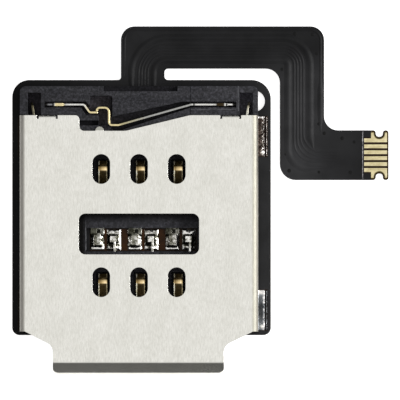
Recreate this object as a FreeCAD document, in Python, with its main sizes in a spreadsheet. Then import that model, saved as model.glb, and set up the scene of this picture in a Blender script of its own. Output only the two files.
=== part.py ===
import FreeCAD, Part
import math
import os
import re
import Sketcher
from FreeCAD import Placement, Rotation, Vector

# A card tray reader on a flex circuit. The origin is the middle of the six card contacts, on the back of
# the reader's stiffener. +X runs towards the plug-in fingers, +Y to the reader's rear and +Z is up.

COLUMN_NAMES = {-1: "left", 0: "middle", 1: "right"}
SIDES = {"left": -1, "right": 1}
FOOT_EDGES = {"left": "shell_half_width", "right": "shell_half_width + foot_reach"}
FOOT_PAD_EDGES = {"left": "left_foot_pad", "right": "right_foot_pad"}
SHARP = None
CONTACT_COUNT = 6
MIDDLE_LANE = (CONTACT_COUNT - 1) / 2
MATCH = 0.01

# Driving sizes in millimetres
SIZES = {
    # Standard spacings
    "contact_pitch": 2.54,
    "row_spacing": 7.62,
    "finger_pitch": 0.40,
    # Film layers, from the back up
    "stiffener_thick": 0.20,
    "base_thick": 0.10,
    "copper_thick": 0.02,
    "coverlay_thick": 0.05,
    # Reader pad of the film: how far it stands out round the reader, and its peg hole
    "pad_left_margin": 0.54,
    "pad_right_margin": 0.86,
    "pad_rear_margin": 0.44,
    "pad_front_margin": 0.27,
    "pad_front_radius": 0.50,
    "pad_rear_left_radius": 1.15,
    "pad_rear_right_radius": 1.30,
    "peg_hole_inset": 1.10,
    "peg_hole_setback": 1.43,
    "peg_hole_radius": 0.70,
    # Tail of the film: root, upper run, side run and finger run
    "root_left": 1.23,
    "root_width": 2.94,
    "root_fillet": 0.20,
    "slit_height": 0.76,
    "slit_corner_radius": 0.25,
    "upper_run_width": 2.86,
    "side_gap": 0.61,
    "side_run_width": 2.99,
    "finger_run_width": 3.36,
    "finger_run_length": 4.35,
    "finger_line": 4.75,
    "tail_inner_radius": 0.95,
    "tail_outer_radius": 0.93,
    "tail_heel_radius": 1.08,
    "tail_stiffener_length": 3.20,
    # Plug-in end
    "notch_width": 0.49,
    "notch_depth": 0.44,
    "notch_setback": 0.62,
    "notch_flare": 0.18,
    "notch_roundness": 0.45,
    "end_corner_radius": 0.18,
    "finger_width": 0.265,
    "finger_length": 1.56,
    "finger_setback": 0.09,
    "land_start": 0.47,
    "land_margin": 0.08,
    "field_margin": 0.09,
    # Copper lines
    "trace_width": 0.12,
    "wide_trace_width": 0.30,
    "fine_pitch": 0.205,
    "wide_lane": 0.76,
    "bundle_shift": 0.12,
    "trace_room": 0.05,
    "spread_setback": 0.45,
    "spread_length": 0.95,
    "heel_turn": 1.30,
    "fan_rear": 6.50,
    "fan_front": 1.50,
    # Steel shell
    "sheet_thick": 0.15,
    "bend_radius": 0.20,
    "shell_half_width": 8.03,
    "shell_rear": 7.43,
    "wall_front": 7.13,
    "wall_lift": 0.20,
    "tray_room": 1.35,
    "neck_left": 5.80,
    "neck_right": 5.72,
    "shoulder_length": 0.95,
    "shoulder_radius": 0.68,
    "neck_length": 1.19,
    "lip_reach": 0.72,
    "lip_rise": 0.62,
    "lip_corner_radius": 0.40,
    "cutout_left": 4.02,
    "cutout_depth": 1.05,
    "cutout_slope": 0.885,
    "cutout_right": 3.43,
    "cutout_edge_radius": 0.27,
    "cutout_inner_radius": 0.33,
    "cutout_slope_radius": 1.35,
    "cutout_exit_radius": 1.00,
    "tongue_left": 2.65,
    "tongue_radius": 0.29,
    "hook_inner": 5.60,
    "hook_width": 1.15,
    "hook_drop": 0.45,
    "hook_root": 0.24,
    "hook_bend": 0.04,
    "relief_width": 0.13,
    "slot_width": 1.19,
    "slot_length": 2.00,
    "window_half_width": 4.05,
    "window_rear": 0.81,
    "window_front": 1.94,
    "window_radius": 0.45,
    "foot_reach": 0.35,
    "foot_length": 2.70,
    "foot_radius": 0.08,
    "foot_setback": 0.07,
    # Moulded housing
    "fit_gap": 0.03,
    "floor_thick": 0.50,
    "floor_setback": 0.08,
    "left_rail_width": 1.22,
    "right_rail_width": 1.04,
    "block_nose": 1.13,
    "block_length": 1.96,
    "block_inset": 0.01,
    "block_radius": 0.40,
    "rear_notch_left": 2.38,
    "rear_notch_right": 2.59,
    "rear_notch_length": 0.34,
    "rear_notch_depth": 0.50,
    "top_step_left": 3.83,
    "top_step_right": 3.50,
    "top_step_depth": 0.06,
    "ledge_slot_length": 1.30,
    "ledge_slot_width": 0.34,
    "ledge_slot_gap": 0.34,
    "ledge_slot_depth": 0.60,
    "solder_window_left_margin": 0.295,
    "solder_window_right_margin": 0.115,
    "solder_window_rear": 0.17,
    "solder_window_front": 1.75,
    "arm_slot_room": 0.17,
    # Card contacts
    "contact_thick": 0.12,
    "arm_width": 0.60,
    "arm_length": 2.80,
    "arm_shift": 0.10,
    "arm_root_radius": 0.60,
    "crown_height": 1.30,
    "crown_radius": 0.35,
    "tip_run": 0.50,
    "tip_drop": 0.35,
    "lead_width": 0.30,
    "root_bar": 0.30,
    "tab_width": 0.45,
    "tab_neck": 0.07,
    "rear_tab_length": 1.15,
    "plate_width": 0.90,
    "plate_length": 0.42,
    "plate_hole_width": 0.24,
    "plate_hole_shift": 0.09,
    "front_tab_length": 1.04,
    "island_width": 0.42,
    "island_length": 0.40,
    "stem_width": 0.14,
    "stem_shift": 0.05,
    "rear_tail_offset": 0.29,
    "front_tail_offset": 0.84,
    # Solder
    "solder_pad_width": 0.95,
    "solder_pad_margin": 0.08,
    "solder_slope": 0.17,
    "solder_climb": 0.09,
    "solder_reach": 0.13,
    "solder_hollow": 0.04,
    "ground_pad_margin": 0.15,
    # Tray switch
    "strip_thick": 0.13,
    "strip_lift": 0.10,
    "strip_height": 0.90,
    "switch_depth": 1.15,
    "switch_setback": 0.72,
    "anchor_inset": 0.27,
    "anchor_room": 0.20,
    "leg_width": 0.50,
    "barb_setback": 0.55,
    "barb_width": 0.68,
    "barb_thick": 0.21,
    "fixed_bend": 3.73,
    "fixed_offset": 0.53,
    "fixed_ramp": 0.37,
    "fixed_landing": 0.58,
    "switch_bend_radius": 0.15,
    "hook_bend_radius": 0.35,
    "spring_hook_rear": 0.21,
    "spring_hook_width": 0.82,
    "spring_toe_front": 1.38,
    "spring_toe_width": 0.58,
    "spring_heel": 3.50,
    "switch_gap": 0.02,
    "hook_pocket_left": 3.30,
    "hook_pocket_rear": 0.60,
    "rib_width": 0.38,
    "arm_room": 0.30,
    "arm_travel": 0.56,
    # Tray holding springs
    "latch_pocket_width": 0.85,
    "latch_pocket_setback": 0.44,
    "latch_pocket_front": 2.60,
    "latch_slit": 0.22,
    "latch_root": 0.55,
    "latch_straight": 0.30,
    "latch_bump": 0.15,
    "latch_bump_line": 4.40,
    "latch_bump_radius": 0.40,
    "latch_tip_inset": 0.53,
    "latch_tip_setback": 0.67,
}

# Places that follow from the sizes
PLACES = {
    "film_low": "stiffener_thick",
    "copper_low": "film_low + base_thick",
    "copper_top": "copper_low + copper_thick",
    "seat": "copper_low + coverlay_thick",
    "floor_top": "seat + floor_thick",
    "shell_low": "floor_top + tray_room",
    "shell_top": "shell_low + sheet_thick",
    "pad_left": "shell_half_width + pad_left_margin",
    "pad_right": "shell_half_width + pad_right_margin",
    "pad_rear": "block_rear + pad_rear_margin",
    "pad_front": "wall_front + pad_front_margin",
    "peg_hole_right": "pad_right - peg_hole_inset",
    "peg_hole_rear": "pad_rear - peg_hole_setback",
    "slit_end": "root_width - root_left",
    "root_centre": "root_width / 2 - root_left",
    "upper_low": "pad_rear + slit_height",
    "upper_top": "upper_low + upper_run_width",
    "upper_centre": "upper_low + upper_run_width / 2",
    "side_left": "pad_right + side_gap",
    "side_right": "side_left + side_run_width",
    "side_centre": "side_left + side_run_width / 2",
    "finger_low": "finger_line - finger_run_width / 2",
    "finger_high": "finger_line + finger_run_width / 2",
    "tail_end": "side_right + finger_run_length",
    "finger_tip": "tail_end - finger_setback",
    "finger_start": "finger_tip - finger_length",
    "land_left": "finger_start + land_start",
    "outer_finger": f"{MIDDLE_LANE} * finger_pitch",
    "field_half": "outer_finger + finger_width / 2 + field_margin",
    "notch_left": "tail_end - notch_setback - notch_width / 2",
    "notch_right": "tail_end - notch_setback + notch_width / 2",
    "notch_radius": "notch_roundness * notch_width",
    "outer_bend": "bend_radius + sheet_thick",
    "flat_half": "shell_half_width - outer_bend",
    "hook_outer_bend": "hook_bend + sheet_thick",
    "shoulder": "wall_front + shoulder_length",
    "fold": "shoulder + neck_length",
    "left_foot_pad": "shell_half_width + solder_reach",
    "right_foot_pad": "shell_half_width + foot_reach + solder_reach + ground_pad_margin",
    "rear_foot_rear": "shell_rear - foot_setback",
    "front_foot_rear": "foot_length + foot_setback - wall_front",
    "rail_half": "shell_half_width - sheet_thick - fit_gap",
    "channel_left": "rail_half - left_rail_width",
    "channel_right": "rail_half - right_rail_width",
    "floor_front": "wall_front - floor_setback",
    "block_half": "shell_half_width - block_inset",
    "block_step": "shell_rear + fit_gap",
    "block_front": "shell_rear - block_nose",
    "block_rear": "shell_rear + block_length",
    "spread_right": "finger_start - spread_setback",
    "spread_left": "spread_right - spread_length",
    "cutout_front": "shell_rear - cutout_depth",
    "lip_length": "sqrt(lip_reach * lip_reach + lip_rise * lip_rise)",
    "crown_line": "row_spacing / 2",
    "first_pad_left": "contact_pitch + rear_tail_offset + solder_pad_width / 2",
    "last_pad_right": "contact_pitch + front_tail_offset + solder_pad_width / 2",
    "solder_window_left": "first_pad_left + solder_window_left_margin",
    "solder_window_right": "last_pad_right + solder_window_right_margin",
    "tab_rear": "tab_neck - solder_window_rear",
    "rear_tab_front": "-solder_window_rear - rear_tab_length",
    "plate_front": "-solder_window_rear - plate_length",
    "front_tab_rear": "-solder_window_front + front_tab_length",
    "island_front": "front_tab_rear - island_length",
    "stem_front": "-solder_window_front - tab_neck",
    "solder_pad_rear": "-solder_window_rear - solder_pad_margin",
    "solder_pad_front": "-solder_window_front + solder_pad_margin",
    "strip_low": "shell_low - switch_depth + strip_lift",
    "switch_line": "shell_rear + switch_setback",
    "anchor_left": "channel_left - anchor_inset",
    "anchor_right": "channel_right - anchor_inset",
    "latch_pocket_rear": "block_rear - latch_pocket_setback",
    "fixed_line": "switch_line - fixed_offset",
    "fixed_end": "fixed_bend - fixed_ramp - fixed_landing",
    "spring_rear": "switch_line - spring_hook_rear",
    "spring_front": "switch_line - spring_toe_front",
    "spring_leg": "fixed_end - spring_hook_width",
    "spring_toe": "spring_leg - spring_toe_width",
}

document = FreeCAD.newDocument("sim_reader_flex")
sheet = document.addObject("Spreadsheet::Sheet", "Sizes")
for row, (size_name, size_value) in enumerate(SIZES.items(), start=1):
    sheet.set(f"A{row}", size_name)
    sheet.set(f"B{row}", str(size_value))
    sheet.setAlias(f"B{row}", size_name)
document.recompute()

finished = []


# Formulas and sketches

def formula(text):
    """Spell a formula out in terms of the sheet's cells."""
    def spell(match):
        word = match.group(0)
        if word in PLACES:
            return f"({formula(PLACES[word])})"
        if word in SIZES:
            return f"Sizes.{word}"
        return word
    return re.sub(r"[a-z_]+", spell, text)


def value(text):
    """What a formula comes to now, in millimetres."""
    return float(sheet.evalExpression(formula(text)))


def bind(feature, **formulas):
    """Tie properties of a feature to formulas."""
    for name, text in formulas.items():
        feature.setExpression(name, formula(text))


def limit(sketch, kind, text, *target):
    """Add a dimension to a sketch and tie it to a formula."""
    index = sketch.addConstraint(Sketcher.Constraint(kind, *target, value(text)))
    sketch.setExpression(f"Constraints[{index}]", formula(text))


def pin(sketch, geometry, end, x, y):
    """Hold a sketch point at x, y from the sketch's origin."""
    limit(sketch, "DistanceX", x, -1, 1, geometry, end)
    limit(sketch, "DistanceY", y, -1, 1, geometry, end)


def corner_round(before, corner, after, radius):
    """Start, middle and end of the arc that rounds a corner, and whether it turns left."""
    inward = (corner - before).normalize()
    outward = (after - corner).normalize()
    turn = inward.getAngle(outward)
    setback = radius * math.tan(turn / 2)
    start = corner - inward * setback
    end = corner + outward * setback
    bisector = (outward - inward).normalize()
    centre = corner + bisector * (radius / math.cos(turn / 2))
    middle = centre - bisector * radius
    return start, middle, end, inward.cross(outward).z > 0


def draw(sketch, corners, closed=True):
    """Draw a profile through corners (x, y, radius), with a tangent arc at each corner that has a radius."""
    spots = [Vector(value(x), value(y), 0) for x, y, radius in corners]
    count = len(spots)
    arrivals = list(spots)
    departures = list(spots)
    arcs = {}
    for i, (x, y, radius) in enumerate(corners):
        if radius is SHARP:
            continue
        start, middle, end, left = corner_round(spots[i - 1], spots[i], spots[(i + 1) % count], value(radius))
        arrivals[i] = start
        departures[i] = end
        arc = sketch.addGeometry(Part.Arc(start, middle, end), False)
        arcs[i] = (arc, 1, 2) if left else (arc, 2, 1)
    lines = []
    for i in range(count if closed else count - 1):
        segment = Part.LineSegment(departures[i], arrivals[(i + 1) % count])
        lines.append(sketch.addGeometry(segment, False))
    for i, (x, y, radius) in enumerate(corners):
        before = lines[i - 1] if closed or i > 0 else None
        after = lines[i] if closed or i < count - 1 else None
        if i in arcs:
            arc, arc_start, arc_end = arcs[i]
            point = sketch.addGeometry(Part.Point(spots[i]), True)
            pin(sketch, point, 1, x, y)
            sketch.addConstraint(Sketcher.Constraint("PointOnObject", point, 1, before))
            sketch.addConstraint(Sketcher.Constraint("PointOnObject", point, 1, after))
            sketch.addConstraint(Sketcher.Constraint("Tangent", before, 2, arc, arc_start))
            sketch.addConstraint(Sketcher.Constraint("Tangent", after, 1, arc, arc_end))
            limit(sketch, "Radius", radius, arc)
            continue
        if before is not None and after is not None:
            sketch.addConstraint(Sketcher.Constraint("Coincident", before, 2, after, 1))
        if after is not None:
            pin(sketch, after, 1, x, y)
        else:
            pin(sketch, before, 2, x, y)


def rectangle(left, front, right, rear, radius=SHARP):
    return [(left, front, radius), (right, front, radius), (right, rear, radius), (left, rear, radius)]


def draw_circle(sketch, x, y, radius):
    circle = Part.Circle(Vector(value(x), value(y), 0), Vector(0, 0, 1), value(radius))
    ring = sketch.addGeometry(circle, False)
    pin(sketch, ring, 3, x, y)
    limit(sketch, "Radius", radius, ring)


def draw_slot(sketch, x, y, length, width):
    """Draw a full-round slot along Y, centred on x, y."""
    reach = f"(({length}) - ({width})) / 2"
    radius = f"({width}) / 2"
    rear = f"{y} + {reach}"
    front = f"{y} - {reach}"
    round_radius = value(radius)
    across = Vector(round_radius, 0, 0)
    along = Vector(0, round_radius, 0)
    rear_middle = Vector(value(x), value(rear), 0)
    front_middle = Vector(value(x), value(front), 0)
    rear_arc = Part.Arc(rear_middle + across, rear_middle + along, rear_middle - across)
    front_arc = Part.Arc(front_middle - across, front_middle - along, front_middle + across)
    top = sketch.addGeometry(rear_arc, False)
    left = sketch.addGeometry(Part.LineSegment(rear_middle - across, front_middle - across), False)
    bottom = sketch.addGeometry(front_arc, False)
    right = sketch.addGeometry(Part.LineSegment(front_middle + across, rear_middle + across), False)
    for first, second in ((top, left), (left, bottom), (bottom, right), (right, top)):
        sketch.addConstraint(Sketcher.Constraint("Tangent", first, 2, second, 1))
    pin(sketch, top, 3, x, rear)
    pin(sketch, bottom, 3, x, front)
    limit(sketch, "Radius", radius, top)
    sketch.addConstraint(Sketcher.Constraint("Equal", top, bottom))


# Features

def new_body(name):
    body = document.addObject("PartDesign::Body", name)
    finished.append(body)
    return body


def body_sketch(body, plane, level):
    """A sketch on one of the body's origin planes, lifted to a level along the plane's normal."""
    sketch = body.newObject("Sketcher::SketchObject", f"{body.Name}_sketch")
    support = [feature for feature in body.Origin.OriginFeatures if feature.Role == plane][0]
    sketch.AttachmentSupport = [(support, "")]
    sketch.MapMode = "FlatFace"
    sketch.setExpression("AttachmentOffset.Base.z", formula(level))
    return sketch


def pad(body, sketch, length):
    """Add material along the sketch's normal."""
    feature = body.newObject("PartDesign::Pad", f"{body.Name}_pad")
    feature.Profile = sketch
    bind(feature, Length=length)
    document.recompute()
    return feature


def pocket(body, sketch, depth, upward=False):
    """Cut against the sketch's normal, or along it where upward, and make sure that something was cut."""
    volume = body.Shape.Volume
    feature = body.newObject("PartDesign::Pocket", f"{body.Name}_pocket")
    feature.Profile = sketch
    feature.Reversed = upward
    bind(feature, Length=depth)
    document.recompute()
    if not body.Shape.Volume < volume:
        raise RuntimeError(f"{feature.Name} cuts nothing")
    return feature


def plate(body, corners, low, thickness):
    """A flat layer of the body, drawn from above."""
    sketch = body_sketch(body, "XY_Plane", low)
    draw(sketch, corners)
    return pad(body, sketch, thickness)


def recess(body, outlines, top, depth):
    """Cut outlines drawn from above down into the body."""
    sketch = body_sketch(body, "XY_Plane", top)
    for corners in outlines:
        draw(sketch, corners)
    return pocket(body, sketch, depth)


def free_sketch(name, rotation, **place):
    sketch = document.addObject("Sketcher::SketchObject", name)
    sketch.Placement = Placement(Vector(0, 0, 0), rotation)
    for axis, text in place.items():
        sketch.setExpression(f"Placement.Base.{axis}", formula(text))
    return sketch


def drawn_out(name, base, direction, length):
    """Draw a face or a closed profile out into a solid."""
    feature = document.addObject("Part::Extrusion", name)
    feature.Base = base
    feature.DirMode = "Custom"
    feature.Dir = direction
    feature.Solid = True
    bind(feature, LengthFwd=length)
    return feature


def ribbon(name, path, thickness, direction, width):
    """A strip: an open path thickened to its left side and drawn out."""
    band = document.addObject("Part::Offset2D", f"{name}_band")
    band.Source = path
    band.Mode = "Skin"
    band.Fill = True
    bind(band, Value=f"-({thickness})")
    return drawn_out(name, band, direction, width)


def flat_ribbon(name, points, thickness, low, height):
    """A strip that stands or lies on a level, with its path drawn from above."""
    path = free_sketch(f"{name}_path", Rotation(), z=low)
    draw(path, points, closed=False)
    return ribbon(name, path, thickness, Vector(0, 0, 1), height)


def flat_piece(name, corners, low, height):
    profile = free_sketch(f"{name}_profile", Rotation(), z=low)
    draw(profile, corners)
    return drawn_out(name, profile, Vector(0, 0, 1), height)


def fused(name, pieces):
    feature = document.addObject("Part::MultiFuse", name)
    feature.Shapes = pieces
    feature.Refine = True
    return feature


def cut(name, base, tool):
    feature = document.addObject("Part::Cut", name)
    feature.Base = base
    feature.Tool = tool
    return feature


def from_centre(side, distance):
    """X of a place on the reader at a distance from its middle line, on one side."""
    return f"({SIDES[side]}) * ({distance})"


# Film and copper

def pad_corners(rear_notch=()):
    """The reader pad's outline, with whatever leaves its rear edge."""
    return [
        ("-pad_left", "-pad_front", "pad_front_radius"),
        ("pad_right", "-pad_front", "pad_front_radius"),
        ("pad_right", "pad_rear", "pad_rear_right_radius"),
        *rear_notch,
        ("-pad_left", "pad_rear", "pad_rear_left_radius"),
    ]


def film_corners(finger_end):
    """The whole film's outline, with the given corners at the plug-in end."""
    return pad_corners([
        ("slit_end", "pad_rear", "slit_corner_radius"),
        ("slit_end", "upper_low", "slit_corner_radius"),
        ("side_left", "upper_low", "tail_inner_radius"),
        ("side_left", "finger_low", "tail_heel_radius"),
        *finger_end,
        ("side_right", "finger_high", "tail_inner_radius"),
        ("side_right", "upper_top", "tail_outer_radius"),
        ("-root_left", "upper_top", "tail_outer_radius"),
        ("-root_left", "pad_rear", "root_fillet"),
    ])


def notched_end():
    """The plug-in end with a latching notch in each edge."""
    return [
        ("notch_left", "finger_low", "notch_flare"),
        ("notch_left", "finger_low + notch_depth", "notch_radius"),
        ("notch_right", "finger_low + notch_depth", "notch_radius"),
        ("notch_right", "finger_low", "notch_flare"),
        ("tail_end", "finger_low", "end_corner_radius"),
        ("tail_end", "finger_high", "end_corner_radius"),
        ("notch_right", "finger_high", "notch_flare"),
        ("notch_right", "finger_high - notch_depth", "notch_radius"),
        ("notch_left", "finger_high - notch_depth", "notch_radius"),
        ("notch_left", "finger_high", "notch_flare"),
    ]


def coverlay_end():
    """The end of the black skin, which leaves the fingers bare between two ears."""
    return [
        ("land_left", "finger_low", SHARP),
        ("land_left", "finger_line - field_half", SHARP),
        ("finger_start", "finger_line - field_half", SHARP),
        ("finger_start", "finger_line + field_half", SHARP),
        ("land_left", "finger_line + field_half", SHARP),
        ("land_left", "finger_high", SHARP),
    ]


def drill_peg_hole(body, top, depth):
    sketch = body_sketch(body, "XY_Plane", top)
    draw_circle(sketch, "peg_hole_right", "peg_hole_rear", "peg_hole_radius")
    pocket(body, sketch, depth)


def make_stiffeners():
    reader = new_body("reader_stiffener")
    plate(reader, pad_corners(), "0", "stiffener_thick")
    drill_peg_hole(reader, "stiffener_thick", "stiffener_thick")
    tail = new_body("tail_stiffener")
    left = "tail_end - tail_stiffener_length"
    corners = [(left, "finger_low", SHARP), *notched_end(), (left, "finger_high", SHARP)]
    plate(tail, corners, "0", "stiffener_thick")


def make_base_film():
    base = new_body("flex_base")
    plate(base, film_corners(notched_end()), "film_low", "base_thick")
    drill_peg_hole(base, "copper_low", "base_thick")


def is_rear(index):
    """The solder tails alternate between the rear and the front row of contacts."""
    return index % 2 == 0


def contact_column(index):
    """A contact's column: -1, 0 or 1 from the left."""
    return index // 2 - 1


def tail_line(index):
    """X of the middle of a contact's solder tail."""
    offset = "-rear_tail_offset" if is_rear(index) else "front_tail_offset"
    return f"({contact_column(index)}) * contact_pitch + {offset}"


def is_wide(index):
    """The first and the last copper line carry the supply and are wide."""
    return index in (0, CONTACT_COUNT - 1)


def trace_width(index):
    return "wide_trace_width" if is_wide(index) else "trace_width"


def lane(index):
    """How far the middle of a copper line lies from the middle of the tail, towards its outer side."""
    if is_wide(index):
        side = 1 if index == 0 else -1
        return f"({side}) * wide_lane - bundle_shift"
    return f"({MIDDLE_LANE - index}) * fine_pitch - bundle_shift"


def finger_offset(index):
    return f"({MIDDLE_LANE - index}) * finger_pitch"


def lane_path(distance, offset, finger_end, pad_x):
    """A line along the tail at a distance from its middle, from the fingers round to the solder window."""
    finger_y = f"finger_line + ({offset})"
    run_y = f"finger_line + ({distance})"
    side_x = f"side_centre + ({distance})"
    upper_y = f"upper_centre + ({distance})"
    root_x = f"root_centre - ({distance})"
    return [
        (finger_end, finger_y, SHARP),
        ("spread_right", finger_y, SHARP),
        ("spread_left", run_y, SHARP),
        (side_x, run_y, "heel_turn"),
        (side_x, upper_y, f"tail_inner_radius + side_run_width / 2 + ({distance})"),
        (root_x, upper_y, f"slit_corner_radius + root_width / 2 + ({distance})"),
        (root_x, "fan_rear", SHARP),
        (pad_x, "fan_front", SHARP),
        (pad_x, "solder_pad_rear", SHARP),
    ]


def conductor_path(index):
    """One edge of a copper line."""
    half = f"{trace_width(index)} / 2"
    return lane_path(f"{lane(index)} + {half}", f"{finger_offset(index)} + {half}",
                     "finger_start", f"{tail_line(index)} - {half}")


def copper_recess():
    """Outline of the room for all the copper lines in the underside of the black skin."""
    last = CONTACT_COUNT - 1
    half = "(wide_trace_width / 2 + trace_room)"
    end = "finger_start + fit_gap"
    first_side = lane_path(f"{lane(0)} + {half}", f"{finger_offset(0)} + {half}",
                           end, f"{tail_line(0)} - {half}")
    last_side = lane_path(f"{lane(last)} - {half}", f"{finger_offset(last)} - {half}",
                          end, f"{tail_line(last)} + {half}")
    return first_side + last_side[::-1]


def solder_pad_corners(index, margin):
    """Outline of a contact's solder pad, grown by a margin."""
    half = f"(solder_pad_width / 2 + {margin})"
    return rectangle(f"{tail_line(index)} - {half}", f"solder_pad_front - {margin}",
                     f"{tail_line(index)} + {half}", f"solder_pad_rear + {margin}")


def land_corners(side):
    """The widened outer finger, which follows the latching notch on its side."""
    edge = f"finger_line + ({side}) * (finger_run_width / 2 - land_margin)"
    inner = f"finger_line + ({side}) * outer_finger"
    notch = f"finger_line + ({side}) * (finger_run_width / 2 - notch_depth - land_margin)"
    return [
        ("land_left", inner, SHARP),
        ("finger_tip", inner, SHARP),
        ("finger_tip", edge, SHARP),
        ("notch_right + land_margin", edge, SHARP),
        ("notch_right + land_margin", notch, "notch_radius + land_margin"),
        ("notch_left - land_margin", notch, "notch_radius + land_margin"),
        ("notch_left - land_margin", edge, "notch_flare - land_margin"),
        ("land_left", edge, SHARP),
    ]


def make_conductors():
    """Six copper lines, each with its plated finger and its solder pad."""
    for index in range(CONTACT_COUNT):
        name = f"conductor_{index + 1}"
        line = flat_ribbon(f"{name}_line", conductor_path(index), trace_width(index),
                           "copper_low", "copper_thick")
        finger_y = f"finger_line + {finger_offset(index)}"
        finger_corners = rectangle("finger_start", f"{finger_y} - finger_width / 2",
                                   "finger_tip", f"{finger_y} + finger_width / 2")
        finger = flat_piece(f"{name}_finger", finger_corners, "copper_low", "copper_thick")
        solder_pad = flat_piece(f"{name}_pad", solder_pad_corners(index, "0"), "copper_low", "copper_thick")
        pieces = [line, finger, solder_pad]
        if is_wide(index):
            side = 1 if index == 0 else -1
            pieces.append(flat_piece(f"{name}_land", land_corners(side), "copper_low", "copper_thick"))
        finished.append(fused(name, pieces))


def foot_rear(end):
    return "rear_foot_rear" if end == "rear" else "front_foot_rear"


def foot_pad_corners(side, end, margin):
    """Outline of the copper under a shell foot, grown by a margin."""
    inner = from_centre(side, f"shell_half_width - sheet_thick - {margin}")
    outer = from_centre(side, f"{FOOT_PAD_EDGES[side]} + {margin}")
    rear = foot_rear(end)
    return rectangle(inner, f"{rear} - foot_length - {margin}", outer, f"{rear} + {margin}")


def make_ground_pads():
    for side in SIDES:
        for end in ("rear", "front"):
            body = new_body(f"ground_pad_{side}_{end}")
            plate(body, foot_pad_corners(side, end, "0"), "copper_low", "copper_thick")


def make_coverlay():
    """The black skin, open at the solder window and the shell's feet, with room for the copper below it."""
    body = new_body("flex_coverlay")
    plate(body, film_corners(coverlay_end()), "copper_low", "coverlay_thick")
    drill_peg_hole(body, "seat", "coverlay_thick")
    first_pad = solder_pad_corners(0, "fit_gap")
    last_pad = solder_pad_corners(CONTACT_COUNT - 1, "fit_gap")
    openings = [[first_pad[0], last_pad[1], last_pad[2], first_pad[3]]]
    for side in SIDES:
        for end in ("rear", "front"):
            openings.append(foot_pad_corners(side, end, "fit_gap"))
    recess(body, openings, "seat", "coverlay_thick")
    underside = body_sketch(body, "XY_Plane", "copper_low")
    draw(underside, copper_recess())
    pocket(body, underside, "copper_thick", upward=True)


# Housing

def switch_cavity():
    """Outline of the pocket round the tray switch: two anchor slots, a hook's room, an arm's channel."""
    hook_right = "-spring_leg + strip_thick + fit_gap"
    return [
        ("-anchor_left", "switch_line - anchor_room", SHARP),
        ("-fixed_bend - fit_gap - strip_thick", "switch_line - anchor_room", SHARP),
        ("-fixed_bend + fixed_ramp - anchor_room", "fixed_line - anchor_room", SHARP),
        ("-fixed_end + rib_width - arm_room", "fixed_line - anchor_room", SHARP),
        ("-fixed_end + rib_width - arm_room", "block_front - fit_gap", SHARP),
        ("-spring_toe + arm_room", "block_front - fit_gap", SHARP),
        ("-spring_toe + arm_room", "spring_front - arm_room", SHARP),
        ("spring_heel", "switch_line - anchor_room", SHARP),
        ("anchor_right", "switch_line - anchor_room", SHARP),
        ("anchor_right", "switch_line + anchor_room", SHARP),
        ("spring_heel - arm_travel", "switch_line + anchor_room", SHARP),
        (hook_right, "spring_front + arm_travel", SHARP),
        (hook_right, "switch_line + hook_pocket_rear", "switch_bend_radius"),
        ("-hook_pocket_left", "switch_line + hook_pocket_rear", "switch_bend_radius"),
        ("-hook_pocket_left", "switch_line - strip_thick", SHARP),
        ("-fixed_bend + fit_gap + strip_thick", "switch_line + anchor_room", SHARP),
        ("-anchor_left", "switch_line + anchor_room", SHARP),
    ]


def lead_groove(index, margin):
    """Outline of a contact's flat part in the housing's underside, grown by a margin."""
    return [(f"{x} + ({grow_x}) * {margin}", f"{y} + ({grow_y}) * {margin}", SHARP)
            for x, y, grow_x, grow_y in contact_plan(index)]


def arm_line(index):
    """X of the middle of a contact's arm."""
    return f"({contact_column(index)}) * contact_pitch + arm_shift"


def arm_root(index):
    """Y of the bend where a contact's arm leaves its flat part."""
    row = 1 if is_rear(index) else -1
    return f"({row}) * crown_line - arm_length"


def contact_plan(index):
    """Corners of a contact's flat part, each with the way that it grows."""
    tail = tail_line(index)
    arm_left = f"{arm_line(index)} - arm_width / 2"
    arm_right = f"{arm_line(index)} + arm_width / 2"
    root = arm_root(index)
    if is_rear(index):
        tab_left = f"{tail} - tab_width / 2"
        tab_right = f"{tail} + tab_width / 2"
        plate_left = f"{tail} - plate_width / 2"
        plate_right = f"{tail} + plate_width / 2"
        return [
            (tab_left, "rear_tab_front", -1, -1),
            (tab_right, "rear_tab_front", 1, -1),
            (tab_right, "plate_front", 1, -1),
            (plate_right, "plate_front", 1, -1),
            (plate_right, "tab_rear", 1, -1),
            (arm_right, "tab_rear", 1, -1),
            (arm_right, root, 1, 1),
            (arm_left, root, -1, 1),
            (arm_left, "tab_rear", -1, 1),
            (plate_left, "tab_rear", -1, 1),
            (plate_left, "plate_front", -1, -1),
            (tab_left, "plate_front", -1, -1),
        ]
    island_left = f"{tail} - stem_shift - island_width / 2"
    island_right = f"{tail} - stem_shift + island_width / 2"
    stem_left = f"{tail} + stem_shift - stem_width / 2"
    stem_right = f"{tail} + stem_shift + stem_width / 2"
    lead_left = f"{tail} - lead_width / 2"
    lead_right = f"{tail} + lead_width / 2"
    return [
        (island_left, "front_tab_rear", -1, 1),
        (island_left, "island_front", -1, -1),
        (stem_left, "island_front", -1, -1),
        (stem_left, "stem_front", -1, 1),
        (lead_left, "stem_front", -1, 1),
        (lead_left, root, -1, 1),
        (arm_left, root, -1, 1),
        (arm_left, f"{root} - root_bar", -1, -1),
        (lead_right, f"{root} - root_bar", 1, -1),
        (lead_right, "stem_front", 1, 1),
        (stem_right, "stem_front", 1, 1),
        (stem_right, "island_front", 1, -1),
        (island_right, "island_front", 1, -1),
        (island_right, "front_tab_rear", 1, 1),
    ]


def plate_hole(index):
    """The punched hole in the plate of a rear contact."""
    middle = f"{tail_line(index)} + plate_hole_shift"
    half = "plate_hole_width / 2"
    line = "(plate_front - solder_window_rear) / 2"
    return rectangle(f"{middle} - {half}", f"{line} - {half}", f"{middle} + {half}", f"{line} + {half}")


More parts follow.
